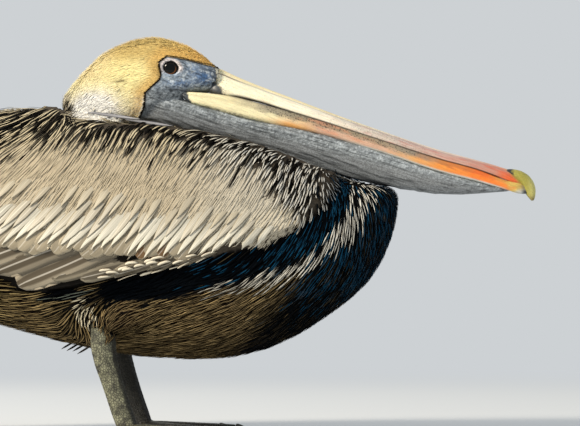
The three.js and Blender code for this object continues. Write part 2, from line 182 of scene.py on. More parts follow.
# outlines of the bird, as x and z in millimetres, from the same plan as the solids
plan = {
    "faceBorder": [(-9.6, 286), (-3.7, 299.2), (-2.6, 311.9), (10.2, 323.6), (11.4, 328.3), (9.6, 339.2),
                   (17.2, 345.2), (32.4, 342.6), (49.8, 338.2), (66, 334.5)],
    "wingTop": [(-345, 150), (-300, 196), (-260, 232), (-220, 262), (-180, 285), (-135.7, 297),
                (-82.7, 301.6), (-44.3, 291.6), (-7.8, 285.2), (47.1, 273.3), (92.8, 261.4), (138.5, 247.7),
                (178, 236)],
    "covertTips": [(-262, 290), (-236, 236), (-208, 206), (-176, 186), (-136, 174), (-86, 169), (-30, 166),
                   (17, 163), (38, 160), (60, 163), (80, 169), (104, 176), (126, 185), (146, 198), (163, 216),
                   (172, 238)],
    "paleBand": [(195, 234), (190, 212), (180, 195), (168, 180), (154, 167), (135, 156), (111, 147),
                 (84, 139), (52, 130)],
    "darkBand": [(174, 236), (168, 212), (152, 192), (136, 178), (116, 167), (92, 159), (56, 150), (20, 142),
                 (-17, 136)],
}
eye = {"x": 20.3, "y": 22.1, "z": 333.6, "ball": 8.4, "lidX": 20.8, "lidZ": 334.2, "longer": 0.92,
       "flatter": 1.18, "dip": math.radians(14)}
billSlope = math.radians(20.8)


def eyeReach(x, z):
    # distance from the middle of the eye, less along its long axis, which dips towards the bill
    along = (x - eye["lidX"]) * math.cos(eye["dip"]) - (z - eye["lidZ"]) * math.sin(eye["dip"])
    across = (x - eye["lidX"]) * math.sin(eye["dip"]) + (z - eye["lidZ"]) * math.cos(eye["dip"])
    return np.hypot(along * eye["longer"], across * eye["flatter"])


skinPlan = {
    "bodyVoxel": 4.6, "headVoxel": 1.4, "legVoxel": 1.25, "inflate": 0.5, "cheekRounds": 40,
    # how deep the skin lies under the solids, to leave room for the feathers
    "headCoat": 1.6, "napeCoat": 2.5, "bodyCoat": 3.4, "wingCoat": 4.2, "flightCoat": 4.6, "thighCoat": 3.0,
}
skinNodes = {
    "body": ["neck_upper", "neck_lower", "breast", "trunk", "rump", "wing_right_coverts", "wing_left_coverts",
             "wing_right_secondaries", "wing_left_secondaries", "wing_right_primaries", "wing_left_primaries",
             "thigh_right", "thigh_left"],
    "head": ["head", "head_nape", "pouch"],
    "legs": ["leg_right", "leg_left", "foot_right", "foot_left"],
}


def mergedCopy(node):
    built = bmesh.new()
    built.from_mesh(frame["nodes"][node].data)
    bmesh.ops.remove_doubles(built, verts=built.verts, dist=1e-6)
    return built


def joinedShell(name, nodes, inflate):
    joined = bmesh.new()
    for node in nodes:
        part = mergedCopy(node)
        part.normal_update()
        for v in part.verts:
            v.co += v.normal * inflate * mm
        held = bpy.data.meshes.new("held")
        part.to_mesh(held)
        joined.from_mesh(held)
        part.free()
        bpy.data.meshes.remove(held)
    mesh = bpy.data.meshes.new(name)
    joined.to_mesh(mesh)
    joined.free()
    return newObject(name, mesh)


def fleshPart(name, voxel, smoothing):
    part = joinedShell(name, skinNodes[name], skinPlan["inflate"])
    applyModifier(part, "REMESH", mode="VOXEL", voxel_size=voxel * mm, use_smooth_shade=True)
    applyModifier(part, "SMOOTH", factor=0.5, iterations=smoothing)
    return part


skin = fleshPart("body", skinPlan["bodyVoxel"], 3)
headPart = fleshPart("head", skinPlan["headVoxel"], 7)
legPart = fleshPart("legs", skinPlan["legVoxel"], 3)
for part in (headPart, legPart):
    applyModifier(skin, "BOOLEAN", operation="UNION", object=part, solver="MANIFOLD")
    bpy.data.objects.remove(part)
skin.name = "skin"
skin.data.name = "skin"
print("skin joined", len(skin.data.vertices), len(skin.data.polygons))

fleshTris, fleshOwner, fleshVerts = [], [], []
fleshNames = skinNodes["body"] + skinNodes["head"] + skinNodes["legs"]
for index, node in enumerate(fleshNames):
    part = mergedCopy(node)
    bmesh.ops.triangulate(part, faces=part.faces)
    start = len(fleshVerts)
    fleshVerts += [tuple(v.co) for v in part.verts]
    fleshTris += [tuple(start + v.index for v in f.verts) for f in part.faces]
    fleshOwner += [index] * len(part.faces)
    part.free()
fleshTree = BVHTree.FromPolygons(fleshVerts, fleshTris)


def zoneOf(points):
    # which CAD node each point on the flesh belongs to
    owner = [fleshOwner[fleshTree.find_nearest(Vector(p * mm))[2]] for p in points]
    return np.array(fleshNames)[owner]


def spread(values, edges, rounds):
    # evens values out over a mesh's edges
    for _ in range(rounds):
        total = values.copy()
        count = np.ones(len(values))
        np.add.at(total, edges[:, 0], values[edges[:, 1]])
        np.add.at(total, edges[:, 1], values[edges[:, 0]])
        np.add.at(count, edges[:, 0], 1)
        np.add.at(count, edges[:, 1], 1)
        values = total / count
    return values


def bareFace(points):
    # true on the naked skin of the face and the pouch
    outline = plan["faceBorder"] + [(400, 330), (400, 180), (-9.6, 180)]
    return inPolygon(points[:, [0, 2]], outline)


skinPoints = vertexArray(skin)
skinEdges = np.zeros(len(skin.data.edges) * 2, int)
skin.data.edges.foreach_get("vertices", skinEdges)
skinEdges = skinEdges.reshape(-1, 2)
# the cheek runs down into the neck without a crease
x, y, z = skinPoints.T
cheekShare = smoothStep(-78, -64, x) * smoothStep(-4, -16, x)
cheekShare = cheekShare * smoothStep(282, 287, z) * smoothStep(316, 308, z) * smoothStep(12, 20, np.abs(y))
evened = np.stack([spread(skinPoints[:, k], skinEdges, skinPlan["cheekRounds"]) for k in range(3)], 1)
skinPoints = mix(skinPoints, evened, cheekShare)
skinZone = zoneOf(skinPoints)
onHead = np.isin(skinZone, ["head", "head_nape"])
onPouch = skinZone == "pouch"
onLegs = np.isin(skinZone, skinNodes["legs"])
onBare = onPouch | (onHead & bareFace(skinPoints))

coat = np.full(len(skinPoints), skinPlan["bodyCoat"])
coat[onHead] = skinPlan["headCoat"]
coat[np.isin(skinZone, ["head_nape", "neck_upper"])] = skinPlan["napeCoat"]
coat[np.char.startswith(skinZone, "thigh")] = skinPlan["thighCoat"]
coat[np.char.startswith(skinZone, "wing")] = skinPlan["wingCoat"]
underQuills = np.char.endswith(skinZone, "primaries") | np.char.endswith(skinZone, "secondaries")
coat[underQuills] = skinPlan["flightCoat"]
# hardly any depth along the wing's upper edge and where the breast bears on the pouch
ridge = heightOf(plan["wingTop"], skinPoints[:, 0]) - skinPoints[:, 2]
coat = coat * np.where(np.char.startswith(skinZone, "wing"), 0.05 + 0.95 * smoothStep(2, 26, ridge), 1)
x, y, z = skinPoints.T
pressed = smoothStep(202, 216, z) * smoothStep(70, 100, x) * smoothStep(62, 50, np.abs(y))
coat = coat * (1 - 0.9 * pressed * ~onHead)
coat[onBare | onLegs] = 0
for _ in range(4):
    coat = spread(coat, skinEdges, 2)
    coat[onBare | onLegs] = 0
skinPoints = skinPoints - normalArray(skin) * coat[:, None]


ringPlan = {
    "reach": 16, "fromMidline": 12, "level": 28.2, "levelShare": 0.8, "fold": 9.2, "foldReach": 0.5,
    "foldHeight": 0.5,
    # distance from the middle of the eye, height
    "relief": [(0, -9), (5.6, -6), (6.2, -1.6), (6.9, 0.2), (8.2, 1.25), (9.6, 1.0), (10.8, 0.15),
               (12, -0.35), (14, -0.1), (16, 0)],
}


def eyeRing(points, side):
    # the socket of the eye, the raised ring round it and the fold of its upper lid
    x, y, z = points.T
    radius = eyeReach(x, z)
    near = (radius < ringPlan["reach"]) & (np.sign(y) == side) & (np.abs(y) > ringPlan["fromMidline"])
    level, levelShare = ringPlan["level"], ringPlan["levelShare"]
    blendOut = 1 - smoothStep(11, 16, radius)
    flat = np.abs(y) * (1 - levelShare * blendOut) + level * levelShare * blendOut
    flat = flat + heightOf(ringPlan["relief"], radius)
    lidFold = ringPlan["foldHeight"] * bell(radius, ringPlan["fold"], ringPlan["foldReach"]) * (z > eye["z"])
    points[near, 1] = side * (flat - lidFold)[near]
    return points


for side in sides.values():
    skinPoints = eyeRing(skinPoints, side)


foldPlan = {"pitch": 5.4, "deep": 0.34, "shallow": 0.2, "gapePitch": 5.2, "gapeDeep": 0.3}


def wrinkles(points, normals):
    # lengthwise folds of the pouch, running with the bill, and short ones across the gape
    x, y, z = points.T
    down = z + np.tan(billSlope) * (x - 60)
    waver = 2.2 * np.sin(x / 47 + 1.3) + 1.4 * np.sin(x / 21 + y / 9) + 0.8 * np.sin(x / 9.5 + z / 6)
    deep = np.sin((down + waver) / foldPlan["pitch"] * 2 * np.pi) * foldPlan["deep"]
    shallow = np.sin((down * 1.7 + waver * 1.9) / foldPlan["pitch"] * 2 * np.pi + 1.1) * foldPlan["shallow"]
    gape = np.sin((x * 0.55 + z) / foldPlan["gapePitch"] * 2 * np.pi) * foldPlan["gapeDeep"]
    gape = gape * (1 - smoothStep(14, 44, x))
    share = smoothStep(-12, 20, x) * (1 - smoothStep(215, 290, x))
    return points + normals * (((deep + shallow) * share + gape) * onPouch)[:, None]


setVertices(skin, skinPoints)
skinPoints = wrinkles(vertexArray(skin), normalArray(skin))
setVertices(skin, skinPoints)
skinNormals = normalArray(skin)

# colours of the bare skin, and of the bed under the feathers
skinShades = {
    "face": "#8794a2", "faceBlue": "#3d689c", "faceGrey": "#888d8f", "faceDark": "#353c43",
    "scurf": "#c3cbd0", "ring": "#e8dcda", "ringLow": "#9db0c6", "pouch": "#868a8d", "pouchDark": "#5f6367",
    "border": "#17130f", "hornBase": "#f0e8cc", "leg": "#85856d", "legDark": "#33322a", "web": "#655f4a",
    "bed": "#15120f", "wingBed": "#4a433a", "headBed": "#b99a5e", "cheekBed": "#f3ecda",
}
shade = {name: hexToLinear(code) for name, code in skinShades.items()}


def clouds(points, size, shift=0.0):
    # soft random blotches of one size, from -1 to 1
    return np.array([noise.noise(Vector(p) / size + Vector((shift, shift, shift))) for p in points])


def hornStart(points):
    # where the naked face gives way to the horn of the upper bill, further forward low down
    return 61.5 + np.clip(323 - points[:, 2], 0, None) * 0.6 + clouds(points, 3.5, 9) * 3


faceSpots = [
    # shade, middle in x and z, reach in x and z, strength
    ("faceBlue", 51.5, 326, 8, 7.5, 1.0),
    ("faceBlue", 30, 320, 12, 4, 0.6),
    ("faceBlue", 41, 332, 6, 5, 0.4),
    ("faceDark", 53, 332, 8, 3, 0.75),
    ("faceDark", 60, 326, 3.5, 7, 0.7),
    ("faceDark", 53, 326, 7, 6, 0.3),
]


def faceTint(points):
    # blue-grey, bluest before the eye, scurfy with pale and dark scales, with a painted shade line in the
    # crease along the gape
    x, y, z = points.T
    face = mix(shade["face"], shade["faceGrey"], smoothStep(322, 308, z) * 0.8)
    for name, *place, strength in faceSpots:
        face = mix(face, shade[name], spot(x, z, *place) * strength)
    scurf = clouds(points, 1.6, 3) + 0.6 * clouds(points, 4.5, 8)
    # painted shade: a dark line in the crease along the gape
    crease = bell(z, 313.8 - 0.12 * (x - 30), 1.1) * smoothStep(12, 22, x)
    # the horn of the bill starts on a dark ragged line
    start = hornStart(points)
    aboveGape = smoothStep(308, 310, z)
    ragged = smoothStep(-0.4, 0.2, clouds(points, 2.5, 2)) * aboveGape
    return layered(
        face,
        (shade["scurf"], smoothStep(0.12, 0.42, scurf) * 0.6),
        (shade["faceDark"], smoothStep(-0.15, -0.5, scurf) * 0.55),
        (shade["faceDark"], crease * 0.85),
        (shade["hornBase"], smoothStep(start - 0.5, start + 0.7, x) * aboveGape),
        (shade["border"], bell(x, start, 0.8) * 0.85 * ragged))


def skinTint(points):
    # the naked face and pouch, the legs and webs, and the bed under the feathers
    x, y, z = points.T
    tint = np.tile(shade["bed"], (len(points), 1))
    radius = eyeReach(x, z)
    ring = mix(shade["ring"], shade["ringLow"], smoothStep(0, -6, z - eye["z"]))
    low = smoothStep(0, -3, z - eye["lidZ"])
    face = layered(
        faceTint(points),
        (ring, (1 - smoothStep(9.2, 11.0, radius)) * 0.9),
        (shade["faceDark"], bell(radius + 0.9 * low, 9.3, 0.45) * (0.5 + 0.35 * low)),
        # painted shade: the skin inside the lids, in the crevice round the eyeball, is dark, most of all
        # below
        (shade["border"], 1 - smoothStep(6.4, 7.2, radius + 0.5 * low)))
    tint[onHead] = face[onHead]
    rough = 0.5 + 0.5 * np.sin(x * 1.7 + 2 * np.sin(z * 0.9)) * np.sin(z * 1.9 + 1.5 * np.sin(y * 1.1))
    pouch = mix(shade["pouch"], shade["pouchDark"], rough * 0.5)
    tint[onPouch] = mix(face, pouch, smoothStep(300, 290, z + (x - 20) * 0.25))[onPouch]
    # dark skin along the feather border, and painted shade there under the feather edge
    edge = 1 - smoothStep(0.6, 2.4, distanceToLine(points[:, [0, 2]], plan["faceBorder"]))
    tint[onBare] = mix(tint, shade["border"], edge * (z > 284))[onBare]
    blotch = clouds(points, 9, 5) + 0.6 * clouds(points, 4, 7)
    # painted shade: the front of the shank and the sides that face each other are darker, and so is the top
    # of the leg under the thigh feathers
    forward, inward = skinNormals[:, 0], -skinNormals[:, 1] * np.sign(y)
    leg = layered(
        mix(shade["leg"], shade["web"], smoothStep(14, 6, z)),
        (shade["legDark"], smoothStep(0.05, 0.6, blotch) * 0.75),
        (shade["legDark"], smoothStep(80, 100, z) * 0.3),
        (shade["legDark"] * 0.5, smoothStep(0.1, 0.8, forward) * 0.9),
        (shade["legDark"] * 0.25, smoothStep(-0.1, 0.5, inward) * 0.95),
        (shade["legDark"], smoothStep(104, 110, z) * 0.8))
    tint[onLegs] = leg[onLegs]
    headLike = (onHead & ~onBare) | (np.isin(skinZone, ["neck_upper", "neck_lower"]) & (z > 283) & (x > -66))
    tint[headLike] = mix(shade["headBed"], shade["cheekBed"], smoothStep(312, 300, z))[headLike]
    tint[np.char.endswith(skinZone, "_coverts")] = shade["wingBed"]
    return tint


def paintPoints(o, tint, alpha):
    # colours of an object's points, with a share for its material in the fourth number
    attribute = o.data.color_attributes.new("tint", "FLOAT_COLOR", "POINT")
    attribute.data.foreach_set("color", np.concatenate([tint, alpha[:, None]], 1).ravel())


paintPoints(skin, skinTint(skinPoints), np.ones(len(skinPoints)))
print("skin shaped")


def addNode(tree, kind, values):
    # one node with its settings and input values; a socket given as a value is linked to that input
    made = tree.nodes.new(kind)
    made.location = (190 * len(tree.nodes), 0)
    for key, value in values.items():
        if isinstance(value, bpy.types.NodeSocket):
            tree.links.new(value, made.inputs[key])
        elif key == "ramp":
            while len(made.color_ramp.elements) < len(value):
                made.color_ramp.elements.new(0.5)
            for element, (place, code) in zip(made.color_ramp.elements, value):
                element.position = place
                element.color = colour(code) if isinstance(code, str) else (code, code, code, 1)
        elif isinstance(key, str) and hasattr(made, key):
            setattr(made, key, value)
        else:
            made.inputs[key].default_value = value
    return made


def newMaterial(name):
    made = bpy.data.materials.new(name)
    made.use_nodes = True
    made.node_tree.nodes.clear()
    return made, made.node_tree


def closeMaterial(tree, values, kind="ShaderNodeBsdfPrincipled"):
    shader = addNode(tree, kind, values)
    addNode(tree, "ShaderNodeOutputMaterial", {"Surface": shader.outputs[0]})


def objectPlace(tree):
    return addNode(tree, "ShaderNodeTexCoord", {}).outputs["Object"]


def scaledPlace(tree, stretch, turn):
    # object coordinates, turned about Y and squeezed, so a pattern runs lengthwise
    turned = addNode(tree, "ShaderNodeMapping", {"Rotation": (0, turn, 0), "Vector": objectPlace(tree)})
    return addNode(tree, "ShaderNodeMapping", {"Scale": stretch, "Vector": turned.outputs[0]}).outputs[0]


def paintedBy(tree, name):
    return addNode(tree, "ShaderNodeAttribute", {"attribute_name": name})


def noiseOf(tree, size, detail, place, roughness=0.5):
    # a noise whose patches are size millimetres across
    values = {"Scale": 1000 / size, "Detail": detail, "Roughness": roughness, "Vector": place}
    return addNode(tree, "ShaderNodeTexNoise", values).outputs["Fac"]


def rampOf(tree, fac, *stops):
    return addNode(tree, "ShaderNodeValToRGB", {"ramp": stops, "Fac": fac}).outputs["Color"]


def rangeOf(tree, value, low, high, toLow=0.0, toHigh=1.0, kind="LINEAR"):
    values = {"interpolation_type": kind, "Value": value, "From Min": low, "From Max": high, "To Min": toLow,
              "To Max": toHigh}
    return addNode(tree, "ShaderNodeMapRange", values).outputs["Result"]


def mathOf(tree, operation, *operands):
    return addNode(tree, "ShaderNodeMath", {"operation": operation, **dict(enumerate(operands))}).outputs[0]


def mixOf(tree, a, b, share=1.0, kind="MULTIPLY"):
    return addNode(tree, "ShaderNodeMix",
                   {"data_type": "RGBA", "blend_type": kind, 0: share, 6: a, 7: b}).outputs[2]


def reliefOf(tree, height, strength, depth):
    # the normal of a relief this many millimetres deep
    return addNode(tree, "ShaderNodeBump",
                   {"Strength": strength, "Distance": depth * mm, "Height": height}).outputs[0]


def wrinkledSkinMaterial():
    # naked skin, stretched and folded: dull, finely lined along the pouch, with a faint grease shine
    made, tree = newMaterial("wrinkledPouchSkin")
    lines = noiseOf(tree, 1.7, 4.0, scaledPlace(tree, (0.045, 1, 1), -0.8 * billSlope), 0.6)
    pores = noiseOf(tree, 1.1, 3.0, objectPlace(tree))
    pale = rampOf(tree, lines, (0.56, 0.0), (0.72, 1.0))
    dark = rampOf(tree, lines, (0.34, 1.0), (0.5, 0.0))
    lighter = mixOf(tree, paintedBy(tree, "tint").outputs["Color"], colour("#505457"), pale, "SCREEN")
    darker = mixOf(tree, lighter, colour("#8d8f90"), dark)
    spotted = mixOf(tree, darker, rampOf(tree, pores, (0.34, 0.66), (0.64, 1.24)))
    height = mathOf(tree, "MULTIPLY_ADD", lines, 1.6, pores)
    closeMaterial(tree, {"Base Color": spotted, "Roughness": 0.52, "Specular IOR Level": 0.42,
                         "Normal": reliefOf(tree, height, 0.6, 0.5)})
    return made


def legSkinMaterial():
    # reticulate leg skin: small raised scales with dark creases between them
    made, tree = newMaterial("reticulateLegSkin")
    scales = addNode(tree, "ShaderNodeTexVoronoi",
                     {"feature": "DISTANCE_TO_EDGE", "Scale": 1000 / 2.3, "Randomness": 0.85,
                                                    "Vector": objectPlace(tree)})
    crease = rampOf(tree, scales.outputs["Distance"], (0.0, 0.2), (0.2, 1.0))
    patch = rampOf(tree, noiseOf(tree, 6, 3.0, objectPlace(tree)), (0.32, 0.5), (0.66, 1.15))
    lined = mixOf(tree, paintedBy(tree, "tint").outputs["Color"], crease)
    closeMaterial(tree,
                  {"Base Color": mixOf(tree, lined, patch), "Roughness": 0.55, "Specular IOR Level": 0.4,
                         "Normal": reliefOf(tree, crease, 0.8, 0.5)})
    return made


def featherBedMaterial():
    # down under the vanes: matt, dark, seen only in the gaps
    made, tree = newMaterial("featherBed")
    soft = rampOf(tree, noiseOf(tree, 2.0, 4.0, objectPlace(tree)), (0.3, 0.6), (0.7, 1.1))
    fluffed = mixOf(tree, paintedBy(tree, "tint").outputs["Color"], soft)
    closeMaterial(tree, {"Base Color": fluffed, "Roughness": 0.9, "Specular IOR Level": 0.1})
    return made


skinMaterials = [featherBedMaterial(), wrinkledSkinMaterial(), legSkinMaterial()]
skin.data.materials.clear()
for material in skinMaterials:
    skin.data.materials.append(material)
vertexKind = np.where(onBare, 1, np.where(onLegs, 2, 0))
faceStart = np.zeros(len(skin.data.polygons), int)
skin.data.polygons.foreach_get("loop_start", faceStart)
cornerVertex = np.zeros(len(skin.data.loops), int)
skin.data.loops.foreach_get("vertex_index", cornerVertex)
skin.data.polygons.foreach_set("material_index", vertexKind[cornerVertex[faceStart]])
finishPiece(skin, "pouch_skin", "head", "head_nape", "pouch", "neck_upper", "neck_lower", "breast", "trunk",
            "rump", "thigh_right", "thigh_left", "leg_right", "leg_left", "foot_right", "foot_left",
            "wing_right_coverts", "wing_left_coverts")
skinTree = BVHTree.FromPolygons([tuple(p) for p in skinPoints],
                                [tuple(p.vertices) for p in skin.data.polygons])


eyePlan = {"segments": 48, "rings": 32, "corneaCurve": 13.0, "corneaTop": 7.5, "pupil": 4.3, "iris": 5.9}


def eyeMaterial():
    # wet cornea over a dark brown iris: a sharp mirror highlight over a colour that falls to black at the rim
    made, tree = newMaterial("wetEye")
    middle = (-eye["x"] * mm, 0, -eye["z"] * mm)
    centred = addNode(tree, "ShaderNodeMapping", {"Location": middle, "Vector": objectPlace(tree)}).outputs[0]
    flat = addNode(tree, "ShaderNodeVectorMath",
                   {"operation": "MULTIPLY", 0: centred, 1: (1, 0, 1)}).outputs[0]
    radius = addNode(tree, "ShaderNodeVectorMath", {"operation": "LENGTH", 0: flat}).outputs["Value"]
    pupil, iris = eyePlan["pupil"] / eye["ball"], eyePlan["iris"] / eye["ball"]
    rings = rampOf(tree, rangeOf(tree, radius, 0.0, eye["ball"] * mm), (0, "#010101"), (pupil, "#020101"),
                   (pupil + 0.04, "#74441a"), (iris - 0.08, "#3c220f"), (iris, "#050302"))
    # painted light: the lower front of the iris is lit up warm, as light let in at the top of the cornea
    # would light it
    lowFront = addNode(tree, "ShaderNodeVectorMath",
                       {"operation": "DOT_PRODUCT", 0: centred, 1: (0.6, 0, -0.8)})
    paintedIrisGlow = rangeOf(tree, lowFront.outputs["Value"], 0.5 * mm, 4.5 * mm, 0.04, 1.2)
    closeMaterial(tree, {"Base Color": mixOf(tree, rings, paintedIrisGlow), "Roughness": 0.03, "IOR": 1.3})
    return made


wetEye = eyeMaterial()
for label, side in sides.items():
    deselectAll()
    bpy.ops.mesh.primitive_uv_sphere_add(segments=eyePlan["segments"], ring_count=eyePlan["rings"],
                                         radius=eye["ball"] * mm,
                                         location=(0, 0, 0), rotation=(math.radians(90), 0, 0))
    ball = bpy.context.object
    bpy.ops.object.transform_apply(location=False, rotation=True, scale=False)
    points = vertexArray(ball)
    # the cornea is flatter than the ball
    curve = eyePlan["corneaCurve"]
    dome = eyePlan["corneaTop"] - curve + np.sqrt(curve**2 - points[:, 0] ** 2 - points[:, 2] ** 2)
    points[:, 1] = np.clip(points[:, 1], -dome, dome)
    setVertices(ball, points + np.array([eye["x"], eye["y"] * side, eye["z"]]))
    ball.name = "eyeball_" + label
    ball.data.materials.append(wetEye)
    finishPiece(ball, "eyeball", "eye_" + label)
print("eyes made")


# the bill: two horn sheaths, each a loft whose colours are worked out along it and down its side
billPlan = {
    "rings": 250, "sides": 60,
    # x, top, bottom, half width
    "upper": [(55, 334, 312.8, 15.5), (60, 335.2, 310.9, 18.6), (66, 333.6, 309.9, 20.0),
              (78, 328, 308.5, 19.4), (95, 320.8, 305, 17.9), (129, 308, 294.6, 16),
              (165, 294.3, 283.6, 14.9), (212, 277.6, 268.4, 14), (270, 258.6, 250, 13.9),
              (300, 250.4, 241.8, 13.3), (320, 244.6, 234.8, 11.6), (334, 239.6, 230, 8.6),
              (342, 235, 227.4, 5.0)],
    "lower": [(31, 312.2, 308.0, 22.6), (36, 312.4, 303.4, 23.9), (44, 312, 300.4, 24.3),
              (55, 311.2, 297.6, 23.4), (75, 308.6, 292, 21.8), (111, 299.6, 283.6, 18.9),
              (147, 289.2, 276.3, 17.1), (212, 268.8, 257.4, 15.2), (264, 251.8, 240.2, 14.5),
              (303, 240.9, 230.1, 12.8), (327, 231.8, 223.4, 9.6), (342, 228, 219.5, 5.8),
              (347.5, 224.5, 220, 2.4)],
    # half a cross-section, from the top middle round to the bottom middle: width and height as shares
    "upperProfile": [(0, 1), (0.14, 0.995), (0.26, 0.95), (0.35, 0.87), (0.4, 0.81), (0.44, 0.8),
                     (0.56, 0.78), (0.72, 0.66), (0.87, 0.46), (0.96, 0.27), (1, 0.12), (0.975, 0.02),
                     (0.86, -0.02), (0.5, 0.04), (0, 0.06)],
    "lowerProfile": [(0, 0.86), (0.5, 0.9), (0.8, 0.97), (0.93, 1.0), (0.985, 0.93), (1, 0.8), (0.985, 0.68),
                     (0.975, 0.6), (0.99, 0.5), (0.985, 0.34), (0.95, 0.14), (0.84, 0.03), (0.5, 0.0),
                     (0, 0.0)],
    # share of the way to the tip, colour
    "upperSide": [(0, "#f7efcd"), (0.25, "#f7f1d8"), (0.36, "#efe7d2"), (0.47, "#d3c9bb"), (0.6, "#c4b2a6"),
                  (0.75, "#c3a092"), (0.87, "#c28d7c"), (0.94, "#cf8265"), (1, "#e06d3c")],
    "upperRidge": [(0, "#f3e3b3"), (0.4, "#ecdcae"), (0.6, "#ddd2c0"), (0.8, "#d8c5b6"), (0.9, "#cf9f8a"),
                   (1, "#d9805f")],
    "upperStain": [(0, "#e9d3a4"), (0.35, "#e3cdb4"), (0.5, "#bf8f86"), (0.75, "#bf7d74"), (0.88, "#c96a50"),
                   (1, "#d8572e")],
    "lowerSide": [(0, "#f6edc2"), (0.26, "#f3e8bd"), (0.34, "#ddb68a"), (0.42, "#cfab93"), (0.58, "#cfa88e"),
                  (0.66, "#dba66a"), (0.76, "#e8913c"), (0.86, "#f47c22"), (0.94, "#f0913a"),
                  (0.97, "#d9c069"), (1, "#c9c9c0")],
    "lowerTop": [(0, "#f4ebc2"), (0.14, "#ece0b4"), (0.24, "#a39a83"), (0.4, "#8d8068"), (0.58, "#9a8a72"),
                 (0.66, "#8f8474"), (0.76, "#c47a3a"), (0.88, "#e0671c"), (0.96, "#d7b65c"), (1, "#6b6d6c")],
}


def hermite(at, known, values):
    # a smooth curve through known values
    slope = np.gradient(values, known)
    i = np.clip(np.searchsorted(known, at) - 1, 0, len(known) - 2)
    width = known[i + 1] - known[i]
    t = (at - known[i]) / width
    return ((2 * t**3 - 3 * t**2 + 1) * values[i] + (t**3 - 2 * t**2 + t) * width * slope[i]
            + (-2 * t**3 + 3 * t**2) * values[i + 1] + (t**3 - t**2) * width * slope[i + 1])


def hornLoft(name, stations, profile):
    # a grid wrapped round the stations, its long edges joined and its ends closed
    rings, around = billPlan["rings"], billPlan["sides"]
    stations = np.array(stations, float)
    profile = np.array(profile, float)
    walked = np.concatenate([[0], np.cumsum(np.hypot(*np.diff(profile, axis=0).T))])
    half = np.linspace(0, walked[-1], around // 2 + 1)
    shape = np.stack([hermite(half, walked, profile[:, 0]), hermite(half, walked, profile[:, 1])], 1)
    shape[[0, -1], 0] = 0
    loop = np.concatenate([shape, shape[-2:0:-1] * [-1, 1]])
    xs = np.linspace(stations[0, 0], stations[-1, 0], rings)
    top, bottom, wide = (hermite(xs, stations[:, 0], stations[:, k]) for k in (1, 2, 3))
    points = np.zeros((rings, around, 3))
    points[..., 0] = xs[:, None]
    points[..., 1] = loop[None, :, 0] * wide[:, None]
    points[..., 2] = bottom[:, None] + loop[None, :, 1] * (top - bottom)[:, None]
    built = bmesh.new()
    rows = [[built.verts.new(p * mm) for p in ring] for ring in points]
    for a, b in zip(rows, rows[1:]):
        for j in range(around):
            built.faces.new((a[j], a[(j + 1) % around], b[(j + 1) % around], b[j]))
    for ring in (rows[0], rows[-1]):
        middle = built.verts.new(sum((v.co for v in ring), Vector()) / around)
        for j in range(around):
            built.faces.new((ring[j], ring[(j + 1) % around], middle))
    bmesh.ops.recalc_face_normals(built, faces=built.faces)
    mesh = bpy.data.meshes.new(name)
    built.to_mesh(mesh)
    built.free()
    return newObject(name, mesh)


def alongRamp(share, ramp):
    places = [p for p, _ in ramp]
    rows = np.array([hexToLinear(code) for _, code in ramp])
    return np.stack([np.interp(share, places, rows[:, k]) for k in range(3)], 1)


def billShares(points, stations):
    # how far towards the tip, and how high between the lower and the upper edge
    stations = np.array(stations, float)
    xs = points[:, 0]
    start, end = stations[0, 0], stations[-1, 0]
    top, bottom = (hermite(np.clip(xs, start, end), stations[:, 0], stations[:, k]) for k in (1, 2))
    return (xs - start) / (end - start), (points[:, 2] - bottom) / (top - bottom)


def bladeStretched(points):
    # points squeezed along the bill, so that blotches come out as long streaks
    cos, sin = math.cos(billSlope), math.sin(billSlope)
    along = points[:, 0] * cos - points[:, 2] * sin
    up = points[:, 0] * sin + points[:, 2] * cos
    return np.stack([along * 0.12, points[:, 1] * 0.5, up], 1)


hornShades = {
    "groove": "#5b4230", "upperEdge": "#2b2119", "tipOrange": "#ea6526", "tipGreen": "#a8a24a",
    "baseRim": "#1c1c1d", "pinkStreak": "#d98f6c", "golden": "#e39b45", "lowEdge": "#dcd8cd",
    "gapeShade": "#2c241c", "tipGrey": "#3b3d3e", "wedgeEdge": "#2a2a2a", "nail": "#a39b42",
    "nailTip": "#c8c070", "nailBase": "#1d1b19", "nailHook": "#8b7f4a",
}
horn = {name: hexToLinear(code) for name, code in hornShades.items()}


def upperTint(points):
    # ivory at the base, pinkish further on and orange at the tip, with a groove below the ridge
    x, z = points[:, 0], points[:, 2]
    along, high = billShares(points, billPlan["upper"])
    streak = clouds(bladeStretched(points), 1.6)
    stained = smoothStep(0.05, 0.45, streak) * (0.35 + 0.4 * smoothStep(0.4, 0.6, along))
    groove = bell(high, 0.8, 0.022) * np.interp(along, [0, 0.08, 0.14, 0.5, 0.9], [1, 0.95, 0.5, 0.4, 0.2])
    lowEdge = (1 - smoothStep(0.04, 0.15, high)) * 0.85 * smoothStep(0.03, 0.1, along)
    lowEdge = lowEdge * (1 - smoothStep(0.9, 0.98, along))
    # the naked face runs a little way onto the base
    start = hornStart(points)
    darkFace = faceTint(points) * (0.12 + 0.36 * smoothStep(314, 322, z))[:, None]
    rim = bell(x, start + 0.4, 1.1) * smoothStep(-0.5, 0.3, clouds(points, 2.5, 2) + 0.25)
    tint = layered(
        alongRamp(along + clouds(points, 9, 4) * 0.05, billPlan["upperSide"]),
        (alongRamp(along, billPlan["upperStain"]), stained),
        (alongRamp(along, billPlan["upperRidge"]), smoothStep(0.8, 0.9, high)),
        (horn["groove"], groove),
        (horn["upperEdge"], lowEdge),
        (horn["tipOrange"], smoothStep(0.9, 0.97, along) * smoothStep(0.7, 0.3, high)),
        (horn["tipGreen"], smoothStep(330, 336, x + (z - 236) * 0.9)),
        (darkFace, 1 - smoothStep(start - 1.0, start + 0.6, x)),
        (horn["baseRim"], rim * 0.85))
    specks = 0.15 + 0.7 * (1 - smoothStep(0.0, 0.1, along))
    return tint, specks + 0.35 * smoothStep(0.3, 0.5, along) * smoothStep(0.8, 0.6, along)


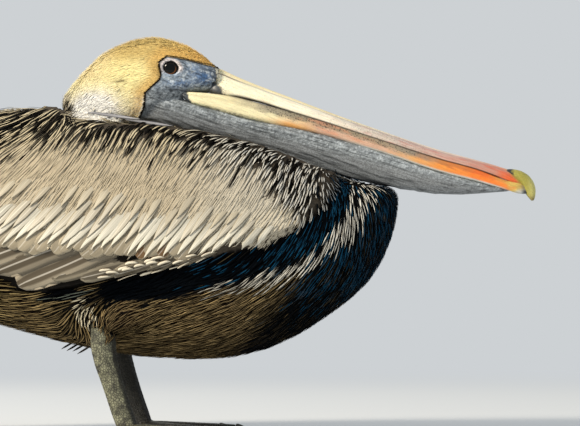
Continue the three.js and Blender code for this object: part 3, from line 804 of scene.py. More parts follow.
def lowerTint(points):
    # ivory at the base, pinkish in the middle, orange towards the tip, with painted shade under the upper
    # bill's edge
    x = points[:, 0]
    along, high = billShares(points, billPlan["lower"])
    streak = clouds(bladeStretched(points), 1.5, 2)
    blotch = clouds(points, 8, 6)
    topShare = smoothStep(0.42, 0.72, high + streak * 0.22)
    pinkish = smoothStep(0.3, 0.38, along) * smoothStep(0.62, 0.5, along) * smoothStep(0.0, 0.4, streak)
    golden = bell(along, 0.31, 0.05) * smoothStep(0.45, 0.2, high) * 0.8
    lowEdge = (1 - smoothStep(0.1, 0.2, high)) * smoothStep(0.4, 0.55, along)
    lowEdge = lowEdge * (1 - smoothStep(0.9, 0.95, along))
    # painted shade along the top of the lower bill, under the upper bill's overhanging edge
    gapeShade = smoothStep(0.9, 0.98, high) * 0.8 * smoothStep(0.05, 0.2, along)
    gapeShade = gapeShade * (1 - smoothStep(0.88, 0.95, along))
    # its first few millimetres come out of the naked skin as a wedge along the gape
    start = 35.6 + (1 - high) * 4 + clouds(points, 2.4, 5) * 2.4
    wedgeEdge = (1 - smoothStep(0.06, 0.16, high)) * smoothStep(0.3, 0.1, along)
    wedgeEdge = wedgeEdge * smoothStep(-0.3, 0.3, clouds(points, 1.8, 12))
    tint = layered(
        alongRamp(along + blotch * 0.05, billPlan["lowerSide"]),
        (alongRamp(along + blotch * 0.03, billPlan["lowerTop"]), topShare),
        (horn["pinkStreak"], pinkish * 0.5),
        (horn["golden"], golden),
        (horn["lowEdge"], lowEdge),
        (horn["gapeShade"], gapeShade),
        (horn["tipGrey"], smoothStep(0.975, 0.99, along) * smoothStep(0.6, 0.3, high)),
        (shade["faceDark"], 1 - smoothStep(start - 0.8, start + 0.6, x)),
        (horn["wedgeEdge"], wedgeEdge * 0.85))
    specks = 0.12 + 1.2 * topShare * smoothStep(0.16, 0.3, along) * smoothStep(0.74, 0.62, along)
    return tint, specks + 0.3 * (1 - smoothStep(0, 0.08, along))


def hornMaterial(name, slope):
    # keratin sheath: waxy, finely streaked lengthwise, painted colour, dark specks where it is worn
    made, tree = newMaterial(name)
    tint = paintedBy(tree, "tint")
    streaks = noiseOf(tree, 1.3, 5.0, scaledPlace(tree, (0.08, 0.7, 1), -slope), 0.65)
    dots = noiseOf(tree, 1.2, 2.0, objectPlace(tree))
    grained = mixOf(tree, tint.outputs["Color"], rampOf(tree, streaks, (0.3, 0.8), (0.62, 1.06)))
    dotted = mathOf(tree, "MULTIPLY", rampOf(tree, dots, (0.55, 0.0), (0.63, 0.85)), tint.outputs["Alpha"])
    specked = mixOf(tree, grained, colour("#3a3026"), dotted, "MIX")
    closeMaterial(tree, {"Base Color": specked, "Roughness": 0.4, "IOR": 1.54, "Subsurface Weight": 0.08,
                         "Subsurface Radius": (0.004, 0.002, 0.001),
                         "Normal": reliefOf(tree, streaks, 0.45, 0.3)})
    return made


billHorn = hornMaterial("billHorn", billSlope)
for name, key, painter in (("upperBill", "upper", upperTint), ("lowerBill", "lower", lowerTint)):
    blade = hornLoft(name, billPlan[key], billPlan[key + "Profile"])
    paintPoints(blade, *painter(vertexArray(blade)))
    blade.data.materials.append(billHorn)
    finishPiece(blade, "bill_horn", "bill_" + key)


def smoothCopy(node, name, material, levels=2, swell=0.0):
    # a soft-edged copy of a coarse solid, swollen by some millimetres
    built = mergedCopy(node)
    built.normal_update()
    for v in built.verts:
        v.co += v.normal * swell * mm
    mesh = bpy.data.meshes.new(name)
    built.to_mesh(mesh)
    built.free()
    piece = newObject(name, mesh)
    applyModifier(piece, "SUBSURF", levels=levels, render_levels=levels)
    piece.data.materials.append(material)
    return piece


def clawMaterial():
    # solid keratin: polished by use, with darker growth lines
    made, tree = newMaterial("clawHorn")
    cloudy = noiseOf(tree, 2.5, 4.0, objectPlace(tree))
    closeMaterial(tree,
                  {"Base Color": rampOf(tree, cloudy, (0.35, "#1d1a17"), (0.65, "#3a342c")),
                   "Roughness": 0.42, "IOR": 1.54,
                         "Normal": reliefOf(tree, cloudy, 0.3, 0.2)})
    return made


nail = smoothCopy("bill_nail", "billNail", hornMaterial("nailHorn", math.radians(60)), 3, 0.6)
nailPoints = vertexArray(nail)
nailTint = layered(
    mix(horn["nail"], horn["nailTip"], smoothStep(344, 352, nailPoints[:, 0])),
    (horn["nailBase"], smoothStep(334.5, 331.5, nailPoints[:, 0] + clouds(nailPoints, 2.5) * 2)),
    (horn["nailHook"], smoothStep(220, 214, nailPoints[:, 2])))
paintPoints(nail, nailTint, np.full(len(nailPoints), 0.2))
finishPiece(nail, "nail_horn", "bill_nail")
clawHorn = clawMaterial()
for label in sides:
    for toe in ("hind", "inner", "middle", "outer"):
        claw = smoothCopy(f"claw_{label}_{toe}", f"claw_{toe}_{label}", clawHorn)
        finishPiece(claw, "claw_horn", f"claw_{label}_{toe}")
print("bill and claws made")


liePlan = {"blend": 12.0, "wingSide": 100, "wingLow": 205, "wingFront": 172}
# how the feathers lie: x, distance from the midline, z, and how many degrees below straight back they point
lieKeys = np.array([
    (62, 2, 336, 0), (45, 10, 350, 2), (10, 0, 362, 0), (-30, 0, 355, 12), (-55, 0, 335, 38),
    (-66, 10, 318, 48), (20, 28, 346, 8), (-10, 33, 335, 14), (-30, 35, 322, 20), (-5, 34, 312, 26),
    (-8, 30, 295, 36), (-35, 34, 298, 30), (-60, 26, 305, 44), (-40, 32, 283, 22), (-20, 20, 280, 18),
    (-100, 0, 290, 10), (-160, 0, 270, 18), (-220, 0, 230, 28), (20, 0, 280, 12), (110, 0, 250, 20),
    (170, 0, 238, 40), (-136, 100, 290, 38), (-130, 100, 262, 48), (-130, 100, 235, 48), (-130, 100, 200, 46),
    (-105, 100, 300, 58), (-85, 100, 297, 68), (-60, 100, 290, 73), (-40, 100, 288, 75), (20, 100, 276, 72),
    (45, 100, 270, 67), (80, 100, 262, 67), (-20, 100, 276, 73), (0, 100, 266, 71), (0, 100, 230, 62),
    (0, 100, 200, 60), (-60, 100, 240, 58), (-60, 100, 205, 55), (60, 100, 262, 66), (60, 100, 240, 62),
    (60, 100, 205, 56), (110, 95, 245, 66), (140, 100, 238, 64), (165, 100, 228, 72), (160, 80, 212, 68),
    (140, 90, 200, 54), (110, 95, 192, 48), (70, 100, 180, 48), (30, 100, 175, 52), (-30, 100, 178, 52),
    (-90, 100, 178, 46), (-200, 80, 225, 30), (-250, 60, 200, 27), (-200, 80, 160, 14), (-300, 40, 160, 20),
    (-330, 30, 150, 20), (212, 20, 222, 84), (205, 30, 200, 92), (215, 0, 190, 92), (195, 40, 176, 80),
    (185, 40, 150, 62), (150, 60, 142, 44), (165, 40, 115, 40), (120, 70, 126, 32), (100, 60, 92, 24),
    (60, 80, 130, 18), (50, 40, 76, 8), (0, 80, 120, 12), (0, 40, 76, 2), (-60, 80, 122, 4),
    (-100, 40, 95, -6), (-150, 60, 120, -6), (-220, 30, 130, -5), (60, 90, 150, 16), (-50, 90, 138, 8),
    (-22, 60, 112, 30), (-42, 60, 112, 78), (-50, 60, 104, 96),
], float)
# where the wing's upper edge meets the back: x, distance from the midline
wingInnerEdge = [(-176, -3), (-158, 5), (-130, 20), (-100, 36), (-70, 46), (-20, 47), (50, 40), (110, 34),
                 (166, 27), (190, 24)]


def lie(points):
    # all of the folded wing, its upper edge too, lies as its side does
    flat = points * [1, 0, 1] + np.abs(points) * [0, 1, 0]
    inner = np.interp(points[:, 0], *zip(*wingInnerEdge))
    onWing = (flat[:, 1] > inner - 3) & (flat[:, 2] > liePlan["wingLow"])
    flat[onWing & (flat[:, 0] < liePlan["wingFront"]), 1] = liePlan["wingSide"]
    away = ((flat[:, None, :] - lieKeys[None, :, :3]) ** 2).sum(2)
    weight = 1 / (away + liePlan["blend"] ** 2) ** 2
    angle = np.radians(lieKeys[:, 3])
    forward, up = (weight * -np.cos(angle)).sum(1), (weight * -np.sin(angle)).sum(1)
    return unit(np.stack([forward, np.zeros(len(points)), up], 1))


def onto(directions, normals):
    # the part of each direction that runs along the surface
    return unit(directions - normals * (directions * normals).sum(1)[:, None])


def nearestOnSkin(points):
    found = [skinTree.find_nearest(Vector(p)) for p in points]
    return np.array([f[0] for f in found]), np.array([f[1] for f in found])


def turned(directions, normals, angle):
    sideways = np.cross(normals, directions)
    return directions * np.cos(angle)[:, None] + sideways * np.sin(angle)[:, None]


def facePart(name, width):
    values = np.zeros(len(skin.data.polygons) * width, np.float32)
    skin.data.polygons.foreach_get(name, values)
    return values.reshape(-1, width).squeeze().astype(float)


def treeOf(points):
    tree = KDTree(len(points))
    for i, p in enumerate(points):
        tree.insert(p, i)
    tree.balance()
    return tree


skinFaces = np.array([tuple(p.vertices)[:3] for p in skin.data.polygons])
faceArea = facePart("area", 1) / mm**2
faceCentre = facePart("center", 3) / mm
faceNormal = facePart("normal", 3)
faceZone = skinZone[skinFaces[:, 0]]
faceBare = onBare[skinFaces].any(1) | onLegs[skinFaces].all(1)


tries = 4.5


def scatter(chosen, across, along, seed):
    # roots spread evenly over the chosen faces, closer across the lie than along it
    rng = np.random.default_rng(seed)
    faces = np.flatnonzero(chosen)
    weight = faceArea[faces] / (across[faces] * along[faces])
    wanted = int(weight.sum() * tries)
    picked = rng.choice(faces, wanted, p=weight / weight.sum())
    corners = skinPoints[skinFaces[picked]]
    share = rng.dirichlet((1, 1, 1), wanted)
    points = (corners * share[..., None]).sum(1)
    # quads are split, so half the points are swung to the other half of the face
    swing = rng.random(wanted) < 0.5
    points[swing] = 2 * faceCentre[picked[swing]] - points[swing]
    heading = onto(lie(points), faceNormal[picked])
    tree = treeOf(points)
    free = np.ones(wanted, bool)
    kept = []
    for i in range(wanted):
        if not free[i]:
            continue
        kept.append(i)
        reach = along[picked[i]]
        close = np.array([j for _, j, _ in tree.find_range(points[i], reach)])
        gap = points[close] - points[i]
        forward = gap @ heading[i]
        beside = np.linalg.norm(gap - forward[:, None] * heading[i], axis=1)
        free[close[(forward / reach) ** 2 + (beside / across[picked[i]]) ** 2 < 1]] = False
    kept = np.array(kept)
    return points[kept], heading[kept], picked[kept]


def walk(roots, heading, lengths, stations, stiffness=0.0, tips=None):
    # each vane's spine, normal and side direction at its stations, laid over the skin
    places, normals = nearestOnSkin(roots)
    forward = onto(heading, normals)
    spine, up, beside = [places], [normals], [np.cross(normals, forward)]
    for before, after in zip(stations, stations[1:]):
        step = lengths * (after - before)
        ahead = places + forward * step[:, None]
        found, foundNormals = nearestOnSkin(ahead)
        lifted = np.clip(((ahead - found) * normals).sum(1), 0, None)
        places = found + normals * (lifted * stiffness)[:, None]
        normals = unit(normals * stiffness + foundNormals * (1 - stiffness))
        wish = forward * 0.6 + lie(places) * 0.4 if tips is None else unit(tips - places)
        forward = onto(wish, normals)
        spine.append(places)
        up.append(normals)
        beside.append(np.cross(normals, forward))
    return np.stack(spine, 1), np.stack(up, 1), np.stack(beside, 1)


def unwrap(points):
    # the skin laid flat: along the body, and round it from the belly line
    middle = np.interp(points[:, 0], [-350, -100, 100, 350], [140, 190, 190, 240])
    turn = np.arctan2(points[:, 1], points[:, 2] - middle)
    flat = np.stack([points[:, 0], turn * 100], 1)
    low, high = flat.min(0), flat.max(0)
    return 0.01 + 0.98 * (flat - low) / np.maximum(high - low, 1e-6)


def vaneMesh(name, roots, rings, ringUv, stations, ground, streak, material, patch=0.003):
    # rings: vane, station, point of the ring, xyz. ringUv: how far across each ring point lies, from 0 to 1.
    count, rows, around = rings.shape[:3]
    corners, uvs, sizes = [], [], []
    for i in range(rows - 1):
        for j in range(around):
            k = (j + 1) % around
            corners += [i * around + j, i * around + k, (i + 1) * around + k, (i + 1) * around + j]
            uvs += [(ringUv[j], stations[i]), (ringUv[k], stations[i]), (ringUv[k], stations[i + 1]),
                    (ringUv[j], stations[i + 1])]
            sizes.append(4)
    for row in (0, rows - 1):
        ring = [row * around + j for j in range(around)]
        ring = ring[::-1] if row == 0 else ring
        corners += ring
        uvs += [(ringUv[c % around], stations[row]) for c in ring]
        sizes.append(around)
    corners, uvs, sizes = np.array(corners), np.array(uvs), np.array(sizes)
    perVane = rows * around
    mesh = bpy.data.meshes.new(name)
    mesh.vertices.add(count * perVane)
    mesh.vertices.foreach_set("co", (rings.reshape(-1, 3) * mm).ravel())
    allCorners = (corners[None, :] + np.arange(count)[:, None] * perVane).ravel()
    mesh.loops.add(len(allCorners))
    mesh.loops.foreach_set("vertex_index", allCorners)
    allSizes = np.tile(sizes, count)
    mesh.polygons.add(len(allSizes))
    mesh.polygons.foreach_set("loop_start", np.concatenate([[0], np.cumsum(allSizes)[:-1]]))
    mesh.update(calc_edges=True)
    # each vane has its own step of the pattern space, so that no two are marked alike
    step = np.stack([np.zeros(count), np.arange(count) % 911], 1)
    vane = mesh.uv_layers.new(name="vane")
    vane.data.foreach_set("uv", (uvs[None] + step[:, None]).ravel())
    place = unwrap(roots)
    baked = mesh.uv_layers.new(name="OFBake")
    baked.data.foreach_set("uv", (place[:, None, :] + (uvs[None] - 0.5) * patch).ravel())
    for label, values in (("ground", ground), ("streak", streak)):
        layer = mesh.color_attributes.new(label, "FLOAT_COLOR", "POINT")
        layer.data.foreach_set("color", np.repeat(values, perVane, axis=0).ravel())
    mesh.materials.append(material)
    piece = newObject(name, mesh)
    triangles = int((sizes - 2).sum()) * count
    coatCount[name] = triangles
    print(name, count, "vanes", triangles, "triangles")
    return piece


coatCount = {}


def smallVanes(name, tract, roots, heading, shades, material, seed):
    # thin three-sided vanes, two edges and a raised shaft, rising to their tips to overlap like tiles
    rng = np.random.default_rng(seed)
    count = len(roots)
    stations = np.array([s[0] for s in tract["shape"]])
    widths = np.array([s[1] for s in tract["shape"]])
    lengths = shades["length"] * rng.uniform(0.84, 1.16, count)
    half = shades["half"] * rng.uniform(0.84, 1.16, count)
    heading = turned(heading, nearestOnSkin(roots)[1], rng.normal(0, math.radians(tract["stray"]), count))
    spine, up, beside = walk(roots, heading, lengths, stations, tract.get("stiffness", 0.0))
    rise = shades.get("rise", tract["rise"]) * rng.uniform(0.72, 1.08, count)
    height = tract["sink"] * -1 + rise[:, None] * stations[None, :] ** 0.8
    curl = rng.normal(0, tract.get("roll", 0.1), count)
    spine = spine + up * height[..., None]
    across = beside * (half[:, None] * widths[None, :])[..., None]
    tiltUp = up * (half[:, None] * widths[None, :] * curl[:, None])[..., None]
    droop = up * (half[:, None] * widths[None, :] * 0.06)[..., None]
    thick = up * (tract["thick"] * (0.35 + 0.65 * widths))[None, :, None]
    left = spine - across - droop - tiltUp
    right = spine + across - droop + tiltUp
    rings = np.stack([left, right, spine + thick], 2)
    return vaneMesh(name, roots, rings, [0.0, 1.0, 0.5], stations, shades["ground"], shades["streak"],
                    material)


quillPlan = {"across": 7, "along": 12, "thick": 0.8}
quillShapes = {
    "rounded": [(0, 0.5), (0.1, 0.82), (0.3, 0.98), (0.85, 1.0), (0.94, 0.84), (0.98, 0.6), (1.0, 0.18)],
    "pointed": [(0, 0.4), (0.25, 0.82), (0.5, 1.0), (0.7, 0.9), (0.86, 0.52), (0.96, 0.2), (1.0, 0.05)],
}


def quillPiece(name, quills, slot, nodes, seed, shape="rounded", facing=None, rootSink=0.0):
    # broad vanes that lie on what is under them, one edge a little higher than the other
    rng = np.random.default_rng(seed)
    column = {key: np.array([q[key] for q in quills]) for key in ("half", "lift", "roll", "width", "shaft")}
    roots = np.array([q["root"] for q in quills], float)
    tips = np.array([q["tip"] for q in quills], float)
    stations = 1 - (1 - np.linspace(0, 1, quillPlan["along"])) ** 1.5
    count, rows = len(quills), len(stations)
    half = column["half"][:, None] * np.interp(stations, *zip(*quillShapes[shape]))[None, :]
    onSkin = facing is None
    if onSkin:
        spine, up, beside = walk(roots, unit(tips - roots), np.linalg.norm(tips - roots, axis=1), stations,
                                 0.35, tips)
    else:
        way = unit(tips - roots)
        spine = roots[:, None, :] + (tips - roots)[:, None, :] * stations[None, :, None]
        up = np.repeat(onto(np.tile(facing, (count, 1)), way)[:, None, :], rows, 1)
        beside = np.cross(up, np.repeat(way[:, None, :], rows, 1))
    across = np.linspace(-1, 1, quillPlan["across"])
    height = column["lift"][:, None] + stations[None, :] - rootSink * (1 - stations[None, :]) ** 1.5
    top = np.zeros((count, rows, len(across), 3))
    for k, share in enumerate(across):
        flat = (spine + beside * (half * share)[..., None]).reshape(-1, 3)
        found, normals = nearestOnSkin(flat) if onSkin else (flat, up.reshape(-1, 3))
        arch = 0.5 * quillPlan["thick"] * math.sqrt(max(0, 1 - abs(share)))
        lift = height + column["roll"][:, None] * share + arch
        top[:, :, k] = (found + normals * lift.reshape(-1, 1)).reshape(count, rows, 3)
    under = top[:, :, ::-1][:, :, 1:-1] - up[:, :, None] * quillPlan["thick"] * 0.6
    rings = np.concatenate([top, under], 2)
    u = (across + 1) / 2
    ground = np.array([hexToLinear(q["edge"]) for q in quills]) * rng.uniform(0.85, 1.15, (count, 1))
    streak = np.array([hexToLinear(q["centre"]) for q in quills]) * rng.uniform(0.88, 1.12, (count, 1))
    shades = shadeRows(ground, column["width"], streak, column["shaft"])
    piece = vaneMesh(name, roots, rings, np.concatenate([u, u[::-1][1:-1]]), stations, *shades, stiffVane,
                     0.012)
    return finishPiece(piece, slot, *nodes)


def shadeRows(ground, width, streak, shaft):
    # a colour and a number for each vane, as the two colour layers hold them
    return np.concatenate([ground, width[:, None]], 1), np.concatenate([streak, shaft[:, None]], 1)


vanePlan = {
    "soft": {"barbs": 16, "strands": 9.0, "roughness": 0.8, "sheen": 0.0, "shine": 0.03, "shaftHalf": 0.03,
             "rootShade": 0.9},
    "stiff": {"barbs": 60, "strands": 5.0, "roughness": 0.5, "sheen": 0.02, "shine": 0.2, "shaftHalf": 0.018,
              "rootShade": 0.74},
}


def vaneMaterial(name, values):
    # keratin barbs hooked into a vane: matt, with a streak down the shaft and another colour along the edges
    made, tree = newMaterial(name)
    ground, streak = paintedBy(tree, "ground"), paintedBy(tree, "streak")
    vane = addNode(tree, "ShaderNodeUVMap", {"uv_map": "vane"}).outputs["UV"]
    split = addNode(tree, "ShaderNodeSeparateXYZ", {"Vector": vane})
    offShaft = mathOf(tree, "ABSOLUTE", mathOf(tree, "SUBTRACT", split.outputs["X"], 0.5))
    # strands: long uneven lines beside the shaft
    stretched = addNode(tree, "ShaderNodeMapping",
                        {"Scale": (values["strands"], 1.3, 1), "Vector": vane}).outputs[0]
    noisy = addNode(tree, "ShaderNodeTexNoise",
                    {"Scale": 1.0, "Detail": 3.0, "Roughness": 0.6, "Vector": stretched})
    strands = noisy.outputs["Fac"]
    frayed = mathOf(tree, "MULTIPLY_ADD", strands, 0.22, offShaft)
    # the barbs sweep from the shaft towards the tip
    swept = mathOf(tree, "MULTIPLY_ADD", offShaft, -0.55, split.outputs["Y"])
    barbs = mathOf(tree, "SINE", mathOf(tree, "MULTIPLY", swept, values["barbs"] * 2 * math.pi))
    # the streak is as wide as the ground colour's fourth number says
    half = mathOf(tree, "MULTIPLY_ADD", ground.outputs["Alpha"], 0.5, 0.11)
    edge = rangeOf(tree, frayed, mathOf(tree, "SUBTRACT", half, 0.05), mathOf(tree, "ADD", half, 0.05),
                   kind="SMOOTHSTEP")
    body = mixOf(tree, streak.outputs["Color"], ground.outputs["Color"], edge, "MIX")
    shaftLine = rangeOf(tree, offShaft, values["shaftHalf"], values["shaftHalf"] * 2.2, 1.0, 0.0)
    shafted = mixOf(tree, body, colour("#f2ecdf"),
                    mathOf(tree, "MULTIPLY", shaftLine, streak.outputs["Alpha"]), "MIX")
    strandShade = rangeOf(tree, strands, 0.3, 0.7, 0.78, 1.16)
    depth = mathOf(tree, "MULTIPLY", strandShade, rangeOf(tree, barbs, -1.0, 1.0, 0.92, 1.04))
    # each vane is a little duller towards its root
    rootShade = rangeOf(tree, mathOf(tree, "FRACT", split.outputs["Y"]), 0.3, 0.8, values["rootShade"], 1.0)
    lined = mixOf(tree, shafted, mathOf(tree, "MULTIPLY", depth, rootShade))
    closeMaterial(tree,
                  {"Base Color": lined, "Roughness": values["roughness"],
                   "Specular IOR Level": values["shine"],
                         "Sheen Weight": values["sheen"], "Sheen Roughness": 0.4,
                         "Normal": reliefOf(tree, strands, 0.3, 0.15)})
    return made


softVane = vaneMaterial("softContourVane", vanePlan["soft"])
stiffVane = vaneMaterial("stiffFlightVane", vanePlan["stiff"])
# plumage: colours by place
plumage = {
    "crown": "#cfb676", "forehead": "#dcbb72", "cheek": "#f5e8aa", "borderOchre": "#deb468",
    "lowerCheek": "#fffefa", "hindCrown": "#ecdaa4", "earDark": "#4a3820", "napeDark": "#1b1612",
    # the blue of the breast is a painted sheen on black feathers
    "napePale": "#d9cdb4", "breastBlack": "#03060a", "paintedBlueSheen": "#134764", "bandPale": "#efe9da",
    "bellyDark": "#140f09", "bellyGold": "#96815a", "ventDark": "#1b140c", "ventPale": "#ad9663",
    "hollowGrey": "#7a8074", "lesserDark": "#0f0d0b", "lesserPale": "#cdbf9f", "lesserGrey": "#d9d4c8",
    "medianPale": "#b2a68f", "medianGrey": "#b9b2a2", "greaterEdge": "#a3977f", "greaterPale": "#c3bba8",
    "backDark": "#15110e", "backPale": "#b0a48e", "rumpDark": "#2b2723", "rumpPale": "#a19a8f",
    "thighDark": "#241a10", "thighPale": "#7c6b4c", "fringe": "#e3d7b8",
}
tone = {name: hexToLinear(code) for name, code in plumage.items()}


def varied(rng, rows, amount):
    return rows * rng.uniform(1 - amount, 1 + amount, (len(rows), 1))


def vaneShades(ground, width, streak, shaft, length, half, **more):
    groundRows, streakRows = shadeRows(ground, width, streak, shaft)
    return {"ground": groundRows, "streak": streakRows, "length": length, "half": half, **more}


# sizes in millimetres; shows is how far from its root the visible part of a vane lies
headPlan = {"length": 9.0, "half": 0.46, "rise": 0.85, "shows": 6, "napeStreaks": 0.5, "standing": 0.004,
            "ridgeStanding": 0.3}


def headShades(p, zone, rng):
    x, y, z = p.T
    n = len(p)
    edge = distanceToLine(p[:, [0, 2]], plan["faceBorder"])
    seenX, _, seenZ = (p + lie(p) * headPlan["shows"]).T
    base = layered(
        mix(tone["cheek"], tone["crown"], smoothStep(334, 350, z)),
        (tone["forehead"], smoothStep(18, 46, x) * smoothStep(330, 340, z)),
        (tone["hindCrown"], smoothStep(-15, -50, x) * smoothStep(318, 335, z)),
        (tone["borderOchre"], (1 - smoothStep(2, 12, edge)) * 0.75 * smoothStep(284, 296, z)),
        (tone["lowerCheek"], np.clip(spot(x, z, -46, 299, 24, 16) * 1.9, 0, 1)),
        (tone["lowerCheek"], smoothStep(304, 290, z) * smoothStep(-8, -24, x) * 0.8),
        (tone["earDark"], spot(seenX, seenZ, -25, 322, 5, 1.2) * 0.9))
    nape = smoothStep(0, -5, x + 63 + (z - 296) * 0.4 + rng.normal(0, 2, n))
    neck = smoothStep(285, 281, z + rng.normal(0, 1.5, n))
    dark = np.maximum(nape, neck)
    streaky = rng.random(n) < headPlan["napeStreaks"]
    ground = mix(base * 0.95, tone["napeDark"], dark)
    streak = mix(base, np.where(streaky[:, None], tone["napePale"], tone["napeDark"]), dark)
    width = 1.0 - 0.5 * dark
    face = 1 - smoothStep(0, 14, edge)
    length = headPlan["length"] - 5.4 * face + 5 * dark
    half = headPlan["half"] - 0.14 * face + 0.34 * dark
    rise = headPlan["rise"] - 0.4 * face + 1.85 * dark
    # some on the ridge of the crown stand up, so the outline is hairy
    onRidge = smoothStep(20, 11, np.abs(y))
    standing = rng.random(n) < headPlan["standing"] + headPlan["ridgeStanding"] * onRidge
    rise = np.where(standing, rise + 2.0 - 1.2 * face, rise)
    ground, streak = varied(rng, ground, 0.06), varied(rng, streak, 0.11)
    return vaneShades(ground, width, streak, np.zeros(n), length, half, rise=rise)


bodyPlan = {
    # sizes in millimetres at places along the body, from the rump to the breast
    "lengthAt": [-260, -150, 0, 150, 225], "lengths": [40, 30, 24, 20, 15],
    "sizeAt": [-260, -150, 0, 110, 150, 225], "halves": [2.7, 1.9, 1.25, 1.1, 0.8, 0.75],
    "spacings": [2.8, 2.1, 1.5, 1.3, 1.0, 0.9],
    "bandReach": 15, "bandHalf": 1.2, "thighLength": 12, "thighHalf": 0.9, "fringeLength": 11,
    # how much of a vane its streak takes up
    "width": 0.4, "paleWidth": 0.48, "hollowWidth": 0.3, "hollowHairs": 0.22,
}


def bodyShades(p, zone, rng):
    x, y, z = p.T
    n = len(p)
    flat = p[:, [0, 2]]
    band = distanceToLine(flat, plan["paleBand"]) + rng.normal(0, 1.5, n)
    dark = distanceToLine(flat, plan["darkBand"]) + rng.normal(0, 2, n)
    vent = smoothStep(-60, -170, x)
    ground = mix(tone["bellyDark"], tone["ventDark"], vent)
    streak = mix(tone["bellyGold"], tone["ventPale"], vent) * rng.uniform(0.35, 1.4, (n, 1))
    streak = streak * (1 + 0.45 * clouds(p, 16, 3) + 0.3 * spot(x, z, -15, 118, 40, 18))[:, None]
    # the breast is black with painted blue sheen on some vanes, the belly dark with gold streaks
    limit = np.interp(z, [80, 122, 150], [86, 118, 138])
    front = np.clip(smoothStep(limit - 16, limit + 22, x) + rng.normal(0, 0.12, n), 0, 1)
    glintingVanes = rng.random(n) < np.interp(x, [20, 80, 140], [0.0, 0.3, 0.55]) * smoothStep(100, 175, z)
    blue = np.where(glintingVanes[:, None], tone["paintedBlueSheen"], tone["breastBlack"] * 1.3)
    ground = mix(ground, tone["breastBlack"], front)
    streak = mix(streak, blue, front)
    black = (1 - smoothStep(12, 22, dark)) * smoothStep(-100, -20, x)
    ground = mix(ground, tone["breastBlack"], black)
    streak = mix(streak, blue, black)
    reach = np.interp(x, [60, 120, 150, 171, 192], [6, 8, 7.5, 8, 11])
    pale = (band < reach) & (np.abs(y) > np.interp(z, [120, 200, 226], [0, 14, 10]))
    pale = pale & (rng.random(n) < np.interp(x, [50, 90, 125, 150], [0.05, 0.35, 0.7, 0.74]))
    paleness = np.interp(x, [40, 90, 140], [0.35, 0.55, 1])[:, None]
    paleShade = tone["bandPale"] * paleness * rng.uniform(0.7, 1.1, (n, 1))
    streak = np.where(pale[:, None], paleShade, streak)
    ground = np.where(pale[:, None], mix(ground, tone["breastBlack"], np.full(n, 0.8)), ground)
    width = np.where(pale, bodyPlan["paleWidth"], bodyPlan["width"])
    above = (z > np.interp(x, [-300, -100, 120, 170], [170, 240, 240, 400])) & (np.abs(y) < 70)
    thigh = np.char.startswith(zone, "thigh")
    for chosen, name in ((above, "back"), (above & (x < -140), "rump"), (thigh, "thigh")):
        ground[chosen] = tone[name + "Dark"]
        streak[chosen] = tone[name + "Pale"]
    # painted shade: the hollow between the thigh and the wing is painted black, with a few thin pale hairs
    shadedHollow = (np.hypot((x + 62) / 24, (z - 134) / 10) < 1 + rng.normal(0, 0.1, n)) & (np.abs(y) > 40)
    hairy = rng.random(n)[:, None] < bodyPlan["hollowHairs"]
    hairs = np.where(hairy, tone["hollowGrey"], tone["breastBlack"])
    ground[shadedHollow] = tone["breastBlack"]
    streak[shadedHollow] = hairs[shadedHollow]
    width[shadedHollow] = bodyPlan["hollowWidth"]
    fringe = (np.hypot(x + 52.5, (z - 116) * 0.8) < 10) & (np.abs(y) > 40)
    streak[fringe] = tone["fringe"]
    ground[fringe] = tone["thighDark"] * 0.5
    length = np.interp(x, bodyPlan["lengthAt"], bodyPlan["lengths"])
    half = np.interp(x, bodyPlan["sizeAt"], bodyPlan["halves"])
    half = np.where((band < bodyPlan["bandReach"]) & (x > 100), bodyPlan["bandHalf"], half)
    length = np.where(thigh, bodyPlan["thighLength"], length)
    half = np.where(thigh, bodyPlan["thighHalf"], half)
    length[fringe] = bodyPlan["fringeLength"]
    ground = varied(rng, ground, 0.2)
    width = width * rng.uniform(0.8, 1.2, n)
    streak = varied(rng, streak, 0.16)
    return vaneShades(ground, width, streak, np.zeros(n), length, half)


def wingShare(p):
    # 0 on the upper edge of the folded wing, 1 at the tips of the greater coverts
    top, low = heightOf(plan["wingTop"], p[:, 0]), heightOf(plan["covertTips"], p[:, 0])
    return np.clip((top - p[:, 2]) / np.maximum(top - low, 12), 0, 1)


# x, share of the way down the wing where the small shoulder coverts end
lesserLimit = [(-240, 0.42), (-136, 0.34), (-100, 0.27), (-44, 0.19), (20, 0.18), (74, 0.19), (100, 0.25),
               (116, 0.36), (136, 0.85), (150, 1.3)]


def lesserShare(x, share):
    # 1 on the small shoulder coverts, 0 on the smooth ones below them
    limit = heightOf(lesserLimit, x)
    return 1 - smoothStep(limit - 0.07, limit + 0.09, share)


def apart(points, rng, reach):
    # picks points at random, no two of them within reach of each other
    rank = rng.random(len(points))
    tree = treeOf(points)
    near = ([j for _, j, _ in tree.find_range(p, reach)] for p in points)
    return np.array([rank[i] <= rank[others].min() for i, others in enumerate(near)])


wingPlan = {"shows": 13, "blackApart": 2.6, "gapShadeShare": 0.035, "gapShadeWidth": 0.5, "length": 20, "half": 1.05,
            "rise": 4.4, "shortest": 8}


